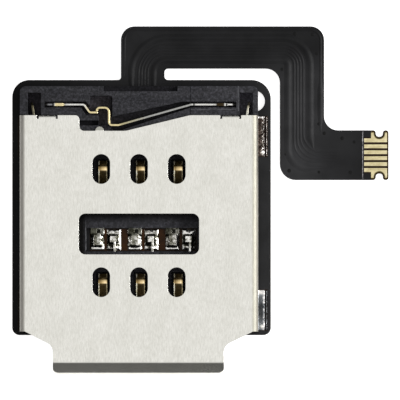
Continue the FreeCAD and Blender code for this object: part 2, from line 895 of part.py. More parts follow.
def make_housing():
    """The moulded frame: a floor with contact slots, two rails and the rear block with the tray switch."""
    body = new_body("housing")
    left_rail = from_centre("left", "rail_half")
    right_rail = from_centre("right", "rail_half")
    left_block = from_centre("left", "block_half")
    right_block = from_centre("right", "block_half")
    left_channel = from_centre("left", "channel_left")
    right_channel = from_centre("right", "channel_right")
    outer = [
        (right_rail, "-floor_front", SHARP),
        (right_rail, "block_step", SHARP),
        (right_block, "block_step", SHARP),
        (right_block, "block_rear", "block_radius"),
        (left_block, "block_rear", "block_radius"),
        (left_block, "block_step", SHARP),
        (left_rail, "block_step", SHARP),
        (left_rail, "-floor_front", SHARP),
    ]
    channel = [
        (left_channel, "-floor_front", SHARP),
        (left_channel, "block_front", SHARP),
        (right_channel, "block_front", SHARP),
        (right_channel, "-floor_front", SHARP),
    ]
    plate(body, outer, "seat", "floor_thick")
    plate(body, outer + channel, "floor_top", "tray_room")
    # Rear block: the lowered middle, the rear notch, the switch and the hooks' seats
    lowered = rectangle("-top_step_left", "block_front - fit_gap", "top_step_right", "block_rear + fit_gap")
    recess(body, [lowered], "shell_low", "top_step_depth")
    recess(body, [rectangle("-rear_notch_left", "block_rear - rear_notch_length",
                            "rear_notch_right", "block_rear + fit_gap")], "shell_low", "rear_notch_depth")
    recess(body, [switch_cavity()], "shell_low", "switch_depth")
    ledge_rear = "fixed_line - anchor_room - ledge_slot_gap"
    recess(body, [rectangle("-cutout_left", f"{ledge_rear} - ledge_slot_width",
                            "-cutout_left + ledge_slot_length", ledge_rear)], "shell_low", "ledge_slot_depth")
    hook_seats = []
    for side, sign in SIDES.items():
        ends = [f"({sign}) * (hook_inner - fit_gap)", f"({sign}) * (hook_inner + hook_width + fit_gap)"]
        hook_seats.append(rectangle(ends[0], "shell_rear - hook_root", ends[1], "block_step"))
    recess(body, hook_seats, "shell_low", "hook_drop + fit_gap")
    # Rails: the tray springs' pockets, a slit for each spring's front end, and room for the shell's bends
    pockets = []
    slits = []
    for side in SIDES:
        open_side = from_centre(side, f"channel_{side} - fit_gap")
        deep_side = from_centre(side, f"channel_{side} + latch_pocket_width")
        pockets.append(rectangle(open_side, "latch_pocket_front", deep_side, "latch_pocket_rear"))
        slit_inner = from_centre(side, f"channel_{side} + latch_root - strip_thick - fit_gap")
        slit_outer = from_centre(side, f"channel_{side} + latch_root + fit_gap")
        slits.append(rectangle(slit_inner, "latch_pocket_front - latch_slit",
                               slit_outer, "latch_pocket_front + fit_gap"))
    recess(body, pockets, "shell_low", "tray_room")
    recess(body, slits, "shell_low", "tray_room")
    corners = body_sketch(body, "XZ_Plane", "floor_front")
    for side in SIDES:
        draw(corners, [
            (from_centre(side, "rail_half - bend_radius"), "shell_low", SHARP),
            (from_centre(side, "rail_half + fit_gap"), "shell_low", SHARP),
            (from_centre(side, "rail_half + fit_gap"), "shell_low - bend_radius - fit_gap", SHARP),
        ])
    pocket(body, corners, "floor_front + block_step")
    # Floor: the solder window, the arm slots, the switch legs' holes and the grooves for the leads
    openings = [rectangle("-solder_window_left", "-solder_window_front",
                          "solder_window_right", "-solder_window_rear")]
    half_slot = "(arm_width / 2 + arm_slot_room)"
    for index in range(CONTACT_COUNT):
        front = f"{arm_root(index)} - fit_gap"
        rear = f"{arm_root(index)} + arm_length + tip_run + arm_slot_room"
        openings.append(rectangle(f"{arm_line(index)} - {half_slot}", front,
                                  f"{arm_line(index)} + {half_slot}", rear))
    recess(body, openings, "floor_top", "floor_thick")
    leg_holes = []
    for side in SIDES:
        leg_holes.append(rectangle(from_centre(side, f"anchor_{side} - leg_width - 2 * fit_gap"),
                                   "switch_line - strip_thick / 2 - fit_gap",
                                   from_centre(side, f"anchor_{side}"),
                                   "switch_line + strip_thick / 2 + fit_gap"))
    recess(body, leg_holes, "shell_low - switch_depth", "tray_room + floor_thick - switch_depth")
    grooves = body_sketch(body, "XY_Plane", "seat")
    for index in range(CONTACT_COUNT):
        draw(grooves, lead_groove(index, "fit_gap"))
    pocket(body, grooves, "contact_thick + fit_gap", upward=True)


# Shell

def shell_plate_corners():
    """Flat top of the shell, from the front fold round to the rear cut-out and the two hooks' reliefs."""
    flat_left = from_centre("left", "flat_half")
    flat_right = from_centre("right", "flat_half")
    hook_line = "shell_rear - hook_root"
    outline = [
        ("-neck_left", "-fold + outer_bend", SHARP),
        ("neck_right", "-fold + outer_bend", SHARP),
        ("neck_right", "-shoulder", "shoulder_radius"),
        (flat_right, "-wall_front", SHARP),
        (flat_right, "shell_rear", SHARP),
    ]
    right_hook = [("hook_inner + hook_width + relief_width", "shell_rear"),
                  ("hook_inner + hook_width + relief_width", hook_line),
                  ("hook_inner - relief_width", hook_line),
                  ("hook_inner - relief_width", "shell_rear")]
    outline += [(x, y, SHARP) for x, y in right_hook]
    outline += [
        ("cutout_right", "shell_rear", "cutout_exit_radius"),
        ("-cutout_slope", "cutout_front", "cutout_slope_radius"),
        ("-cutout_left", "cutout_front", "cutout_inner_radius"),
        ("-cutout_left", "shell_rear", "cutout_edge_radius"),
    ]
    outline += [(f"-({x})", y, SHARP) for x, y in reversed(right_hook)]
    outline += [
        (flat_left, "shell_rear", SHARP),
        (flat_left, "-wall_front", SHARP),
        ("-neck_left", "-shoulder", "shoulder_radius"),
    ]
    return outline


def side_section(side, low):
    """Section of a side: the bend and the plain wall down to a level."""
    return [
        (from_centre(side, "flat_half - sheet_thick"), "shell_top", SHARP),
        (from_centre(side, "shell_half_width"), "shell_top", "outer_bend"),
        (from_centre(side, "shell_half_width"), low, SHARP),
        (from_centre(side, "shell_half_width - sheet_thick"), low, SHARP),
        (from_centre(side, "shell_half_width - sheet_thick"), "shell_low", "bend_radius"),
        (from_centre(side, "flat_half - sheet_thick"), "shell_low", SHARP),
    ]


def foot_section(side):
    """The lower end of a wall: a straight tab on the left, and a foot turned out on the right."""
    if side == "left":
        return side_section(side, "seat")
    return side_section(side, "seat")[:2] + [
        (from_centre(side, "shell_half_width"), "seat + sheet_thick", "foot_radius"),
        (from_centre(side, "shell_half_width + foot_reach"), "seat + sheet_thick", SHARP),
        (from_centre(side, "shell_half_width + foot_reach"), "seat", SHARP),
        (from_centre(side, "shell_half_width - sheet_thick"), "seat", "foot_radius + sheet_thick"),
    ] + side_section(side, "seat")[4:]


def lip_section():
    """Section of the front lip, folded up from the neck as the tray's lead-in."""
    lean = "sheet_thick * lip_rise / lip_length"
    rise = "sheet_thick * lip_reach / lip_length"
    return [
        ("-fold + outer_bend", "shell_low", SHARP),
        ("-fold", "shell_low", "outer_bend"),
        ("-fold - lip_reach", "shell_low + lip_rise", SHARP),
        (f"-fold - lip_reach + {lean}", f"shell_low + lip_rise + {rise}", SHARP),
        ("-fold + sheet_thick * (lip_length - lip_reach) / lip_rise", "shell_top", "bend_radius"),
        ("-fold + outer_bend", "shell_top", SHARP),
    ]


def make_shell():
    """The folded cover."""
    body = new_body("shell")
    plate(body, shell_plate_corners(), "shell_low", "sheet_thick")
    # Side walls, with the tabs and feet at their ends
    walls = body_sketch(body, "XZ_Plane", "-shell_rear")
    for side in SIDES:
        draw(walls, side_section(side, "seat + wall_lift"))
    pad(body, walls, "shell_rear + wall_front")
    for end in ("rear", "front"):
        feet = body_sketch(body, "XZ_Plane", f"-({foot_rear(end)})")
        for side in SIDES:
            draw(feet, foot_section(side))
        pad(body, feet, "foot_length")
    # Front lip and rear hooks
    lip = body_sketch(body, "YZ_Plane", "-neck_left")
    draw(lip, lip_section())
    pad(body, lip, "neck_left + neck_right")
    for sign in SIDES.values():
        start = "hook_inner" if sign > 0 else "-hook_inner - hook_width"
        hook = body_sketch(body, "YZ_Plane", start)
        draw(hook, [
            ("shell_rear - hook_root", "shell_top", SHARP),
            ("shell_rear", "shell_top", "hook_outer_bend"),
            ("shell_rear", "shell_low - hook_drop", SHARP),
            ("shell_rear - sheet_thick", "shell_low - hook_drop", SHARP),
            ("shell_rear - sheet_thick", "shell_low", "hook_bend"),
            ("shell_rear - hook_root", "shell_low", SHARP),
        ])
        pad(body, hook, "hook_width")
    # Half-round tongue at the cut-out
    tongue = body_sketch(body, "XY_Plane", "shell_low")
    draw_circle(tongue, "-tongue_left", "cutout_front", "tongue_radius")
    pad(body, tongue, "sheet_thick")
    # Slots over the contacts, and the window over the solder tails
    slots = body_sketch(body, "XY_Plane", "shell_top")
    for column in COLUMN_NAMES:
        for row in (-1, 1):
            slot_x = f"({column}) * contact_pitch"
            draw_slot(slots, slot_x, f"({row}) * crown_line", "slot_length", "slot_width")
    draw(slots, rectangle("-window_half_width", "-window_front",
                          "window_half_width", "window_rear", "window_radius"))
    pocket(body, slots, "sheet_thick")
    round_lip_corners(body)


def round_lip_corners(body):
    """Round the two outer corners of the lip."""
    shape = body.Shape
    lip_end = value("-fold - lip_reach")
    reach = value("sheet_thick")
    ends = (-value("neck_left"), value("neck_right"))
    names = []
    for number, edge in enumerate(shape.Edges, start=1):
        middle = edge.CenterOfMass
        at_side = min(abs(middle.x - end) for end in ends) < MATCH
        if at_side and middle.y < lip_end + reach and edge.Length < reach + MATCH:
            names.append(f"Edge{number}")
    sharp_shell = body.Tip
    fillet = body.newObject("PartDesign::Fillet", "shell_lip_corners")
    fillet.Base = (sharp_shell, names)
    bind(fillet, Radius="lip_corner_radius")
    document.recompute()


# Contacts, springs and solder

def make_contact(index):
    """A stamped contact: the flat tail and lead, and the arm that rises to its crown."""
    row = "rear" if is_rear(index) else "front"
    column = COLUMN_NAMES[contact_column(index)]
    name = f"contact_{row}_{column}"
    flat_corners = [(x, y, SHARP) for x, y, grow_x, grow_y in contact_plan(index)]
    flat = flat_piece(f"{name}_flat", flat_corners, "seat", "contact_thick")
    root = arm_root(index)
    left = f"{arm_line(index)} - arm_width / 2"
    path = free_sketch(f"{name}_path", Rotation(Vector(1, 1, 1), 120), x=left)
    draw(path, [
        (f"{root} - root_bar", "seat", SHARP),
        (root, "seat", "arm_root_radius"),
        (f"{root} + arm_length", "seat + crown_height", "crown_radius"),
        (f"{root} + arm_length + tip_run", "seat + crown_height - tip_drop", SHARP),
    ], closed=False)
    arm = ribbon(f"{name}_arm", path, "contact_thick", Vector(1, 0, 0), "arm_width")
    if is_rear(index):
        hole = flat_piece(f"{name}_hole", plate_hole(index), "seat - fit_gap", "contact_thick + 2 * fit_gap")
        flat = cut(f"{name}_punched", flat, hole)
    contact = fused(name, [flat, arm])
    finished.append(contact)
    make_contact_solder(f"contact_solder_{row}_{column}", index, contact)


def make_contact_solder(name, index, contact):
    """The solder that rises from a copper pad to a contact's tail and holds it."""
    mound = document.addObject("PartDesign::Body", f"{name}_mound")
    foot = body_sketch(mound, "XY_Plane", "copper_top")
    draw(foot, solder_pad_corners(index, "0"))
    crest = body_sketch(mound, "XY_Plane", "seat + solder_climb")
    draw(crest, solder_pad_corners(index, "(-solder_slope)"))
    loft = mound.newObject("PartDesign::AdditiveLoft", f"{name}_loft")
    loft.Profile = foot
    loft.Sections = [crest]
    loft.Ruled = True
    finished.append(cut(name, mound, contact))


def make_shell_solder():
    """The solder under each tab or foot and along its outer edge, with a hollow slope."""
    for side in SIDES:
        inner = from_centre(side, f"{FOOT_EDGES[side]} - sheet_thick")
        edge = from_centre(side, FOOT_EDGES[side])
        hollow = from_centre(side, f"{FOOT_EDGES[side]} + solder_hollow")
        far = from_centre(side, f"{FOOT_EDGES[side]} + solder_reach")
        for end in ("rear", "front"):
            body = new_body(f"shell_solder_{side}_{end}")
            section = body_sketch(body, "XZ_Plane", f"-({foot_rear(end)})")
            draw(section, [
                (inner, "copper_top", SHARP),
                (far, "copper_top", SHARP),
                (hollow, "copper_top + solder_hollow", "solder_reach"),
                (edge, "seat + solder_climb", SHARP),
                (edge, "seat", SHARP),
                (inner, "seat", SHARP),
            ])
            pad(body, section, "foot_length")


def make_switch():
    """The two strips of the tray switch, each with a leg down to the film at its anchored end."""
    half = "strip_thick / 2"
    tip_front = f"fixed_line + {half} + switch_gap"
    fixed = flat_ribbon("detect_fixed_strip", [
        ("-anchor_left + fit_gap", f"switch_line - {half}", SHARP),
        ("-fixed_bend", f"switch_line - {half}", "switch_bend_radius"),
        ("-fixed_bend + fixed_ramp", f"fixed_line - {half}", "switch_bend_radius + strip_thick"),
        ("-fixed_end", f"fixed_line - {half}", SHARP),
    ], "strip_thick", "strip_low", "strip_height")
    spring = flat_ribbon("detect_spring_strip", [
        ("anchor_right - fit_gap", f"switch_line + {half}", SHARP),
        ("spring_heel", f"switch_line + {half}", "hook_bend_radius"),
        ("-spring_toe", f"spring_front + {half}", "hook_bend_radius"),
        ("-spring_leg", f"spring_front + {half}", "switch_bend_radius"),
        ("-spring_leg", f"spring_rear + {half}", "hook_bend_radius"),
        ("-fixed_end - strip_thick", f"spring_rear + {half}", "switch_bend_radius + strip_thick"),
        ("-fixed_end - strip_thick", tip_front, SHARP),
    ], "strip_thick", "strip_low", "strip_height")
    for name, strip, side in (("detect_fixed_contact", fixed, "left"), ("detect_spring", spring, "right")):
        anchor = f"anchor_{side} - fit_gap"
        leg_corners = rectangle(from_centre(side, f"{anchor} - leg_width"), f"switch_line - {half}",
                                from_centre(side, anchor), f"switch_line + {half}")
        leg = flat_piece(f"{name}_leg", leg_corners, "seat", "strip_low - seat + strip_height")
        barb_corners = rectangle(from_centre(side, f"{anchor} - barb_setback - barb_width"),
                                 "switch_line - barb_thick / 2",
                                 from_centre(side, f"{anchor} - barb_setback"),
                                 "switch_line + barb_thick / 2")
        barb = flat_piece(f"{name}_barb", barb_corners, "strip_low", "strip_height")
        finished.append(fused(name, [strip, leg, barb]))


def make_latch_springs():
    """The tray's holding springs: a held front end, a bump in the channel and a free rear end."""
    for side in SIDES:
        root = from_centre(side, f"channel_{side} + latch_root")
        bump = from_centre(side, f"channel_{side} - latch_bump + strip_thick")
        tip = from_centre(side, f"channel_{side} + latch_tip_inset + strip_thick")
        points = [
            (tip, "latch_pocket_rear - latch_tip_setback", SHARP),
            (bump, "latch_bump_line", "latch_bump_radius"),
            (root, "latch_pocket_front + latch_straight", "latch_bump_radius"),
            (root, "latch_pocket_front - latch_slit + fit_gap", SHARP),
        ]
        if side == "right":
            points.reverse()
        spring = flat_ribbon(f"latch_spring_{side}", points, "strip_thick", "strip_low", "strip_height")
        finished.append(spring)


# Build, check and write

make_stiffeners()
make_base_film()
make_conductors()
make_ground_pads()
make_coverlay()
make_housing()
make_shell()
for contact_index in range(CONTACT_COUNT):
    make_contact(contact_index)
make_shell_solder()
make_switch()
make_latch_springs()
document.recompute()

for feature in document.Objects:
    if "Invalid" in feature.State or "Error" in feature.State:
        raise RuntimeError(f"{feature.Label} failed: {feature.State}")
for piece in finished:
    if piece.Shape.isNull() or not piece.Shape.isValid():
        raise RuntimeError(f"{piece.Label} has no valid shape")
    if len(piece.Shape.Solids) != 1:
        raise RuntimeError(f"{piece.Label} has {len(piece.Shape.Solids)} solids")

os.makedirs("parts", exist_ok=True)
for piece in finished:
    piece.Shape.exportStep(f"parts/{piece.Label}.step")
    print(f"{piece.Label}: {piece.Shape.Volume:.4f} mm3")
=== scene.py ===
import math

import bmesh
import bpy
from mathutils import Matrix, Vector, noise


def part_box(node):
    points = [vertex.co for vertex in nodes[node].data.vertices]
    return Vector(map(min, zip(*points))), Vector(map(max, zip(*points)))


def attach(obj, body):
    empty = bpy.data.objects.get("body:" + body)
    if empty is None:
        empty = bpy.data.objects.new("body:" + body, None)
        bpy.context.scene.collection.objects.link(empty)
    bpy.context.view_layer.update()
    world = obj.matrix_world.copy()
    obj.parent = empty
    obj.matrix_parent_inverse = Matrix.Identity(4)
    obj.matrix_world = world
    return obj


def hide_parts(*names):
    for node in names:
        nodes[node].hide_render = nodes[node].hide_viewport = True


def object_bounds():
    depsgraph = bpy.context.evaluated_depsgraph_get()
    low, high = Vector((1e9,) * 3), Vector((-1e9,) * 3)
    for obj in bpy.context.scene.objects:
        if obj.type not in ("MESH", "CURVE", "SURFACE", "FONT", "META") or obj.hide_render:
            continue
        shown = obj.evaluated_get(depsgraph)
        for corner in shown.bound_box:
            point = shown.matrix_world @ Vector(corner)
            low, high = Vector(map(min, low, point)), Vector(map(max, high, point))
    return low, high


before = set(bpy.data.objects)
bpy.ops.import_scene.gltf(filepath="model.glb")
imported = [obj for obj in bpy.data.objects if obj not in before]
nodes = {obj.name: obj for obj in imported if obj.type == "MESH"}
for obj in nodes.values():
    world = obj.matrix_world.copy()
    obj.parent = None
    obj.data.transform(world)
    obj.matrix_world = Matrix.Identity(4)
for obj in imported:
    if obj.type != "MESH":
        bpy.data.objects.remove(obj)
cad_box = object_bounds()
scene = bpy.context.scene
scene.view_settings.view_transform = "Standard"

MM = 0.001
BODY = "root"
COLUMNS = {"left": -1, "middle": 0, "right": 1}
SIDES = {"left": -1, "right": 1}
ENDS = ("rear", "front")

# Heights and places read from the frame, in millimetres as all sizes below
skin_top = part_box("flex_coverlay")[1].z / MM
block_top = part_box("housing")[1].z / MM
block_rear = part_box("housing")[1].y / MM

SHELL_HALF_WIDTH = 8.03
SHELL_TOP = 2.35
CONTACT_PITCH = 2.54
ROW_SPACING = 7.62
ARM_SHIFT = 0.10
TAIL_OFFSETS = {"rear": -0.29, "front": 0.84}
TONGUE = (-2.65, 6.48)
TONGUE_ROOT = 6.41
FINGER_LINE = 4.75
NOTCH_X = 16.22
NOTCH_REACH = 1.46
FINGER_PITCH = 0.40
FINGER_GAPS = range(-2, 3)
LAND_LOW = -1.50
LAND_HIGH = 1.50
BLOCK_FRONT = 6.40

# Stretches along X, Y or Z over which a finish changes
LIP_FADE = (-9.50, -9.20)
WINDOW_REAR = (0.20, 0.95)
WINDOW_LEFT = (-4.20, -3.60)
SKIN_SPAN = (-9.0, 15.0)
FAR_RUN = (9.8, 11.8)
READER_TO_TAIL = (11.0, 13.0)
LANDS_START = (14.0, 14.5)
FINGER_SPAN = (15.19, 16.84)
TAIL_PLATES = (-1.32, -0.10)
ARM_RISE = (0.55, 0.80)
STRIP_SPAN = (-6.6, 6.6)
LATCH_SPAN = (7.4, 8.3)

# The photograph's scale and the place of the origin in it, for spots that are set one by one
PHOTO_PIXELS = 400
PIXELS_PER_MM = 14.8
ORIGIN_PIXEL = (139.2, 225.5)


def from_photo(pixel_x, pixel_y):
    """A place in the plane, in metres, from a pixel of the photograph."""
    x = (pixel_x - ORIGIN_PIXEL[0]) / PIXELS_PER_MM
    y = (ORIGIN_PIXEL[1] - pixel_y) / PIXELS_PER_MM
    return x * MM, y * MM


# Finishes

def finish(name, colour, roughness, metallic=0.0, specular=0.5):
    """A material whose even values sit on the shader's own sockets."""
    material = bpy.data.materials.new(name)
    material.use_nodes = True
    shader = material.node_tree.nodes["Principled BSDF"]
    shader.inputs["Base Color"].default_value = (*colour, 1.0)
    shader.inputs["Roughness"].default_value = roughness
    shader.inputs["Metallic"].default_value = metallic
    shader.inputs["Specular IOR Level"].default_value = specular
    return material


def added(tree, kind, values=None, **settings):
    """A new node of a kind: its settings first, then even values on the inputs that are named."""
    node = tree.nodes.new(kind)
    for setting, value in settings.items():
        setattr(node, setting, value)
    for socket, value in (values or {}).items():
        node.inputs[socket].default_value = value
    return node


def maths(tree, operation, *later):
    """A maths node whose second and later inputs are even values."""
    return added(tree, "ShaderNodeMath", dict(enumerate(later, 1)), operation=operation)


def shader_of(material):
    return material.node_tree.nodes["Principled BSDF"]


def speckle(material, grains_per_mm, detail=3.0, roughness=0.6):
    """Noise on Object coordinates, with so many grains to the millimetre along X, Y and Z."""
    tree = material.node_tree
    place = tree.nodes.new("ShaderNodeTexCoord")
    stretch = added(tree, "ShaderNodeMapping", {"Scale": [count / MM for count in grains_per_mm]})
    grain = added(tree, "ShaderNodeTexNoise", {"Scale": 1.0, "Detail": detail, "Roughness": roughness})
    tree.links.new(place.outputs["Object"], stretch.inputs["Vector"])
    tree.links.new(stretch.outputs["Vector"], grain.inputs["Vector"])
    return grain.outputs["Fac"]


def along(material, axis, start, end, clamped=True):
    """How far a point lies from start to end along an axis: 0 to 1, or beyond if not clamped; millimetres."""
    tree = material.node_tree
    place = tree.nodes.new("ShaderNodeTexCoord")
    split = tree.nodes.new("ShaderNodeSeparateXYZ")
    reach = {"From Min": start * MM, "From Max": end * MM}
    spread = added(tree, "ShaderNodeMapRange", reach, clamp=clamped)
    tree.links.new(place.outputs["Object"], split.inputs["Vector"])
    tree.links.new(split.outputs[axis], spread.inputs["Value"])
    return spread.outputs["Result"]


def across_shell(material):
    """How far a point lies from the shell's left wall to its right one, from 0 to 1."""
    return along(material, "X", -SHELL_HALF_WIDTH, SHELL_HALF_WIDTH)


def repeated(material, axis, pitch, middle):
    """How far a point lies along an axis within its own pitch, from 0 to 1 with 0.5 at the middle."""
    tree = material.node_tree
    start = middle - pitch / 2
    count = maths(tree, "FRACT")
    tree.links.new(along(material, axis, start, start + pitch, clamped=False), count.inputs[0])
    return count.outputs[0]


def away_from(material, x, y, reach):
    """How far a point lies in plan from an upright line at x and y: 0 on it, 1 at the reach; millimetres."""
    tree = material.node_tree
    place = tree.nodes.new("ShaderNodeTexCoord")
    flat = added(tree, "ShaderNodeMapping", {"Location": (-x / reach, -y / reach, 0.0),
                                             "Scale": (1 / (reach * MM), 1 / (reach * MM), 0.0)})
    length = added(tree, "ShaderNodeVectorMath", operation="LENGTH")
    tree.links.new(place.outputs["Object"], flat.inputs["Vector"])
    tree.links.new(flat.outputs["Vector"], length.inputs[0])
    return length.outputs["Value"]


def painted(material, name):
    """A value that a piece's own points carry."""
    return added(material.node_tree, "ShaderNodeAttribute", attribute_name=name).outputs["Fac"]


def ramp(material, factor, stops):
    """Colours along a factor: stops are (place, (red, green, blue)), or (place, grey)."""
    tree = material.node_tree
    colours = tree.nodes.new("ShaderNodeValToRGB")
    band = colours.color_ramp
    while len(band.elements) < len(stops):
        band.elements.new(1.0)
    for element, (place, colour) in zip(band.elements, stops):
        element.position = place
        element.color = (*colour, 1.0) if isinstance(colour, tuple) else (colour, colour, colour, 1.0)
    tree.links.new(factor, colours.inputs["Fac"])
    return colours.outputs["Color"]


def blended(material, factor, first, second, way="MIX"):
    """Two colour outputs mixed by a factor output, or by an even factor."""
    tree = material.node_tree
    mix = added(tree, "ShaderNodeMix", data_type="RGBA", blend_type=way)
    if isinstance(factor, float):
        mix.inputs["Factor"].default_value = factor
    else:
        tree.links.new(factor, mix.inputs["Factor"])
    tree.links.new(first, mix.inputs["A"])
    tree.links.new(second, mix.inputs["B"])
    return mix.outputs["Result"]


def tinted(material, first, second):
    """Two colour outputs multiplied."""
    return blended(material, 1.0, first, second, way="MULTIPLY")


def colour_from(material, output):
    material.node_tree.links.new(output, shader_of(material).inputs["Base Color"])


def gloss_from(material, factor, low, high):
    """Roughness that wanders between two values."""
    tree = material.node_tree
    spread = added(tree, "ShaderNodeMapRange", {"From Min": 0.3, "From Max": 0.7,
                                                "To Min": low, "To Max": high})
    tree.links.new(factor, spread.inputs["Value"])
    tree.links.new(spread.outputs["Result"], shader_of(material).inputs["Roughness"])


def relief_from(material, *layers, edge=0.0):
    """Bump from (factor, height) layers, one over the other, over edges softened by a radius; millimetres."""
    tree = material.node_tree
    below = None
    if edge:
        below = added(tree, "ShaderNodeBevel", {"Radius": edge * MM}, samples=6).outputs["Normal"]
    for factor, height in layers:
        bump = added(tree, "ShaderNodeBump", {"Strength": 1.0, "Distance": height * MM})
        tree.links.new(factor, bump.inputs["Height"])
        if below is not None:
            tree.links.new(below, bump.inputs["Normal"])
        below = bump.outputs["Normal"]
    tree.links.new(below, shader_of(material).inputs["Normal"])


def plated_steel():
    """Nickel plated sheet with a fine rolled grain along Y, with painted shade along the side folds that also
    tones down their highlight.
    """
    steel = finish("plated_steel", (0.72, 0.71, 0.66), 0.28, metallic=1.0)
    grain = speckle(steel, (11.0, 2.6, 11.0), detail=4.0, roughness=0.7)
    cloud = speckle(steel, (0.9, 0.5, 0.9), detail=2.0)
    grained = ramp(steel, grain, [(0.30, (0.64, 0.63, 0.58)), (0.70, (0.80, 0.79, 0.74))])
    clouded = ramp(steel, cloud, [(0.30, (0.93, 0.93, 0.92)), (0.70, 1.0)])
    sheet = tinted(steel, grained, clouded)
    # Painted shade over the round tongue, darkest towards its rim, behind the tongue's root only
    tongue = ramp(steel, away_from(steel, *TONGUE, 0.40), [
        (0.40, (0.52, 0.52, 0.50)), (0.78, (0.44, 0.43, 0.41)), (0.90, 1.0)])
    tongue_shaded = tinted(steel, sheet, tongue)
    past_edge = along(steel, "Y", TONGUE_ROOT - 0.02, TONGUE_ROOT + 0.02)
    plain = blended(steel, past_edge, sheet, tongue_shaded)
    # Painted shade along the side folds, darkest at the walls: the dull colour and the folds ramp are this
    # shade
    dull = (0.36, 0.35, 0.34)
    clear = 1.0
    folds = ramp(steel, across_shell(steel), [
        (0.0, dull), (0.009, (0.44, 0.43, 0.42)), (0.017, (0.62, 0.61, 0.60)), (0.024, clear),
        (0.972, clear), (0.979, (0.68, 0.67, 0.61)), (0.987, (0.52, 0.51, 0.47)),
        (0.995, (0.50, 0.48, 0.44)), (1.0, dull)])
    painted_shade = tinted(steel, plain, folds)
    upper = along(steel, "Z", SHELL_TOP - 0.36, SHELL_TOP - 0.28)
    colour_from(steel, blended(steel, upper, plain, painted_shade))
    rough_folds = ramp(steel, across_shell(steel), [
        (0.0, 0.55), (0.022, 0.55), (0.027, 0.26), (0.973, 0.26), (0.978, 0.55), (1.0, 0.55)])
    steel.node_tree.links.new(rough_folds, shader_of(steel).inputs["Roughness"])
    off_lip = along(steel, "Y", *LIP_FADE)
    grain_off_lip = blended(steel, off_lip, off_lip, grain)
    relief_from(steel, (grain_off_lip, 0.0012), edge=0.02)
    return steel


def dark_moulding():
    """Dark grey filled plastic: matt speckle, faint flow streaks, painted light stronger towards the right,
    painted shade round the floor's opening, and painted shade and light in the rear block's recesses.
    """
    plastic = finish("dark_moulding", (0.030, 0.030, 0.034), 0.55, specular=0.06)
    grit = speckle(plastic, (6.5, 6.5, 6.5), detail=5.0, roughness=0.80)
    flow = speckle(plastic, (0.5, 3.5, 2.0))
    gritty = ramp(plastic, grit, [(0.32, (0.012, 0.012, 0.013)), (0.50, (0.031, 0.031, 0.034)),
                                  (0.70, (0.084, 0.082, 0.096))])
    flowing = ramp(plastic, flow, [(0.35, (0.70, 0.70, 0.72)), (0.65, 1.0)])
    streaked = tinted(plastic, gritty, flowing)
    # Painted light, stronger towards the right where the lamp stands
    painted_side_light = ramp(plastic, across_shell(plastic), [(0.10, 0.80), (0.50, 0.86), (0.80, 1.0)])
    plain = tinted(plastic, streaked, painted_side_light)
    # Painted shade in the recesses; in their deepest parts, painted shade along the channel and painted light
    # in the two pockets
    shallow = ramp(plastic, along(plastic, "Z", block_top - 0.35, block_top - 0.10), [
        (0.0, (0.30, 0.29, 0.31)), (1.0, 1.0)])
    left_pocket = (1.90, 1.75, 1.80)
    right_pocket = (3.40, 3.30, 3.50)
    channel = (0.50, 0.48, 0.50)
    deep = ramp(plastic, across_shell(plastic), [
        (0.378, left_pocket), (0.386, channel), (0.72, channel), (0.90, right_pocket)])
    at_depth = along(plastic, "Z", block_top - 0.61, block_top - 0.73)
    low = blended(plastic, at_depth, shallow, deep)
    recess_shaded_and_lit = tinted(plastic, plain, low)
    rear_shade = ramp(plastic, along(plastic, "Y", *WINDOW_REAR), [
        (0.0, 1.10), (0.30, (0.62, 0.60, 0.60)), (0.60, (0.24, 0.22, 0.20)),
        (0.90, (0.20, 0.18, 0.16)), (1.0, 1.0)])
    left_shade = ramp(plastic, along(plastic, "X", *WINDOW_LEFT), [
        (0.0, 1.0), (0.10, (0.10, 0.09, 0.07)), (0.60, (0.15, 0.14, 0.12)),
        (0.85, (0.50, 0.49, 0.46)), (1.0, 1.0)])
    window_shade = tinted(plastic, rear_shade, left_shade)
    in_window = tinted(plastic, plain, window_shade)
    at_block = along(plastic, "Y", BLOCK_FRONT - 0.2, BLOCK_FRONT)
    colour_from(plastic, blended(plastic, at_block, in_window, recess_shaded_and_lit))
    gloss_from(plastic, grit, 0.46, 0.66)
    relief_from(plastic, (flow, 0.002), (grit, 0.004), edge=0.03)
    return plastic


def highlit_flash():
    """The moulding's flash, painted paler than the block as its highlight."""
    flash = finish("highlit_flash", (0.070, 0.070, 0.075), 0.5, specular=0.10)
    broken = speckle(flash, (3.0, 3.0, 3.0))
    colour_from(flash, ramp(flash, broken, [(0.35, (0.040, 0.040, 0.044)), (0.65, (0.110, 0.110, 0.118))]))
    gloss_from(flash, broken, 0.40, 0.60)
    return flash


def black_skin():
    """The film's black skin: satin, with a fine orange peel, and painted light and shade: darkest by the
    shell's left wall, brightest on the side run, and darker over the far run's top.
    """
    skin = finish("black_skin", (0.012, 0.012, 0.0125), 0.42, specular=0.07)
    peel = speckle(skin, (7.0, 7.0, 7.0))
    cloud = speckle(skin, (0.6, 0.6, 0.6), detail=2.0)
    along_skin = along(skin, "X", *SKIN_SPAN)
    # Painted light and shade along the skin, brightest on the side run towards the lamp
    shades = [(0.0, 0.0025), (0.04, 0.0035), (0.33, 0.012), (0.48, 0.009), (0.70, 0.013), (0.83, 0.025),
              (0.93, 0.015), (1.0, 0.011)]
    painted_side_light = ramp(skin, along_skin, [(place, (shade, shade, 1.05 * shade)) for place, shade in shades])
    far_shades = [(0.33, 0.012), (0.60, 0.010), (0.80, 0.010), (1.0, 0.007)]
    far_run = ramp(skin, along_skin, [(place, (shade, shade, 1.05 * shade)) for place, shade in far_shades])
    toned = blended(skin, along(skin, "Y", *FAR_RUN), painted_side_light, far_run)
    clouded = ramp(skin, cloud, [(0.30, 0.75), (0.70, 1.15)])
    colour_from(skin, tinted(skin, toned, clouded))
    gloss_from(skin, peel, 0.36, 0.50)
    relief_from(skin, (cloud, 0.004), (peel, 0.0012))
    return skin


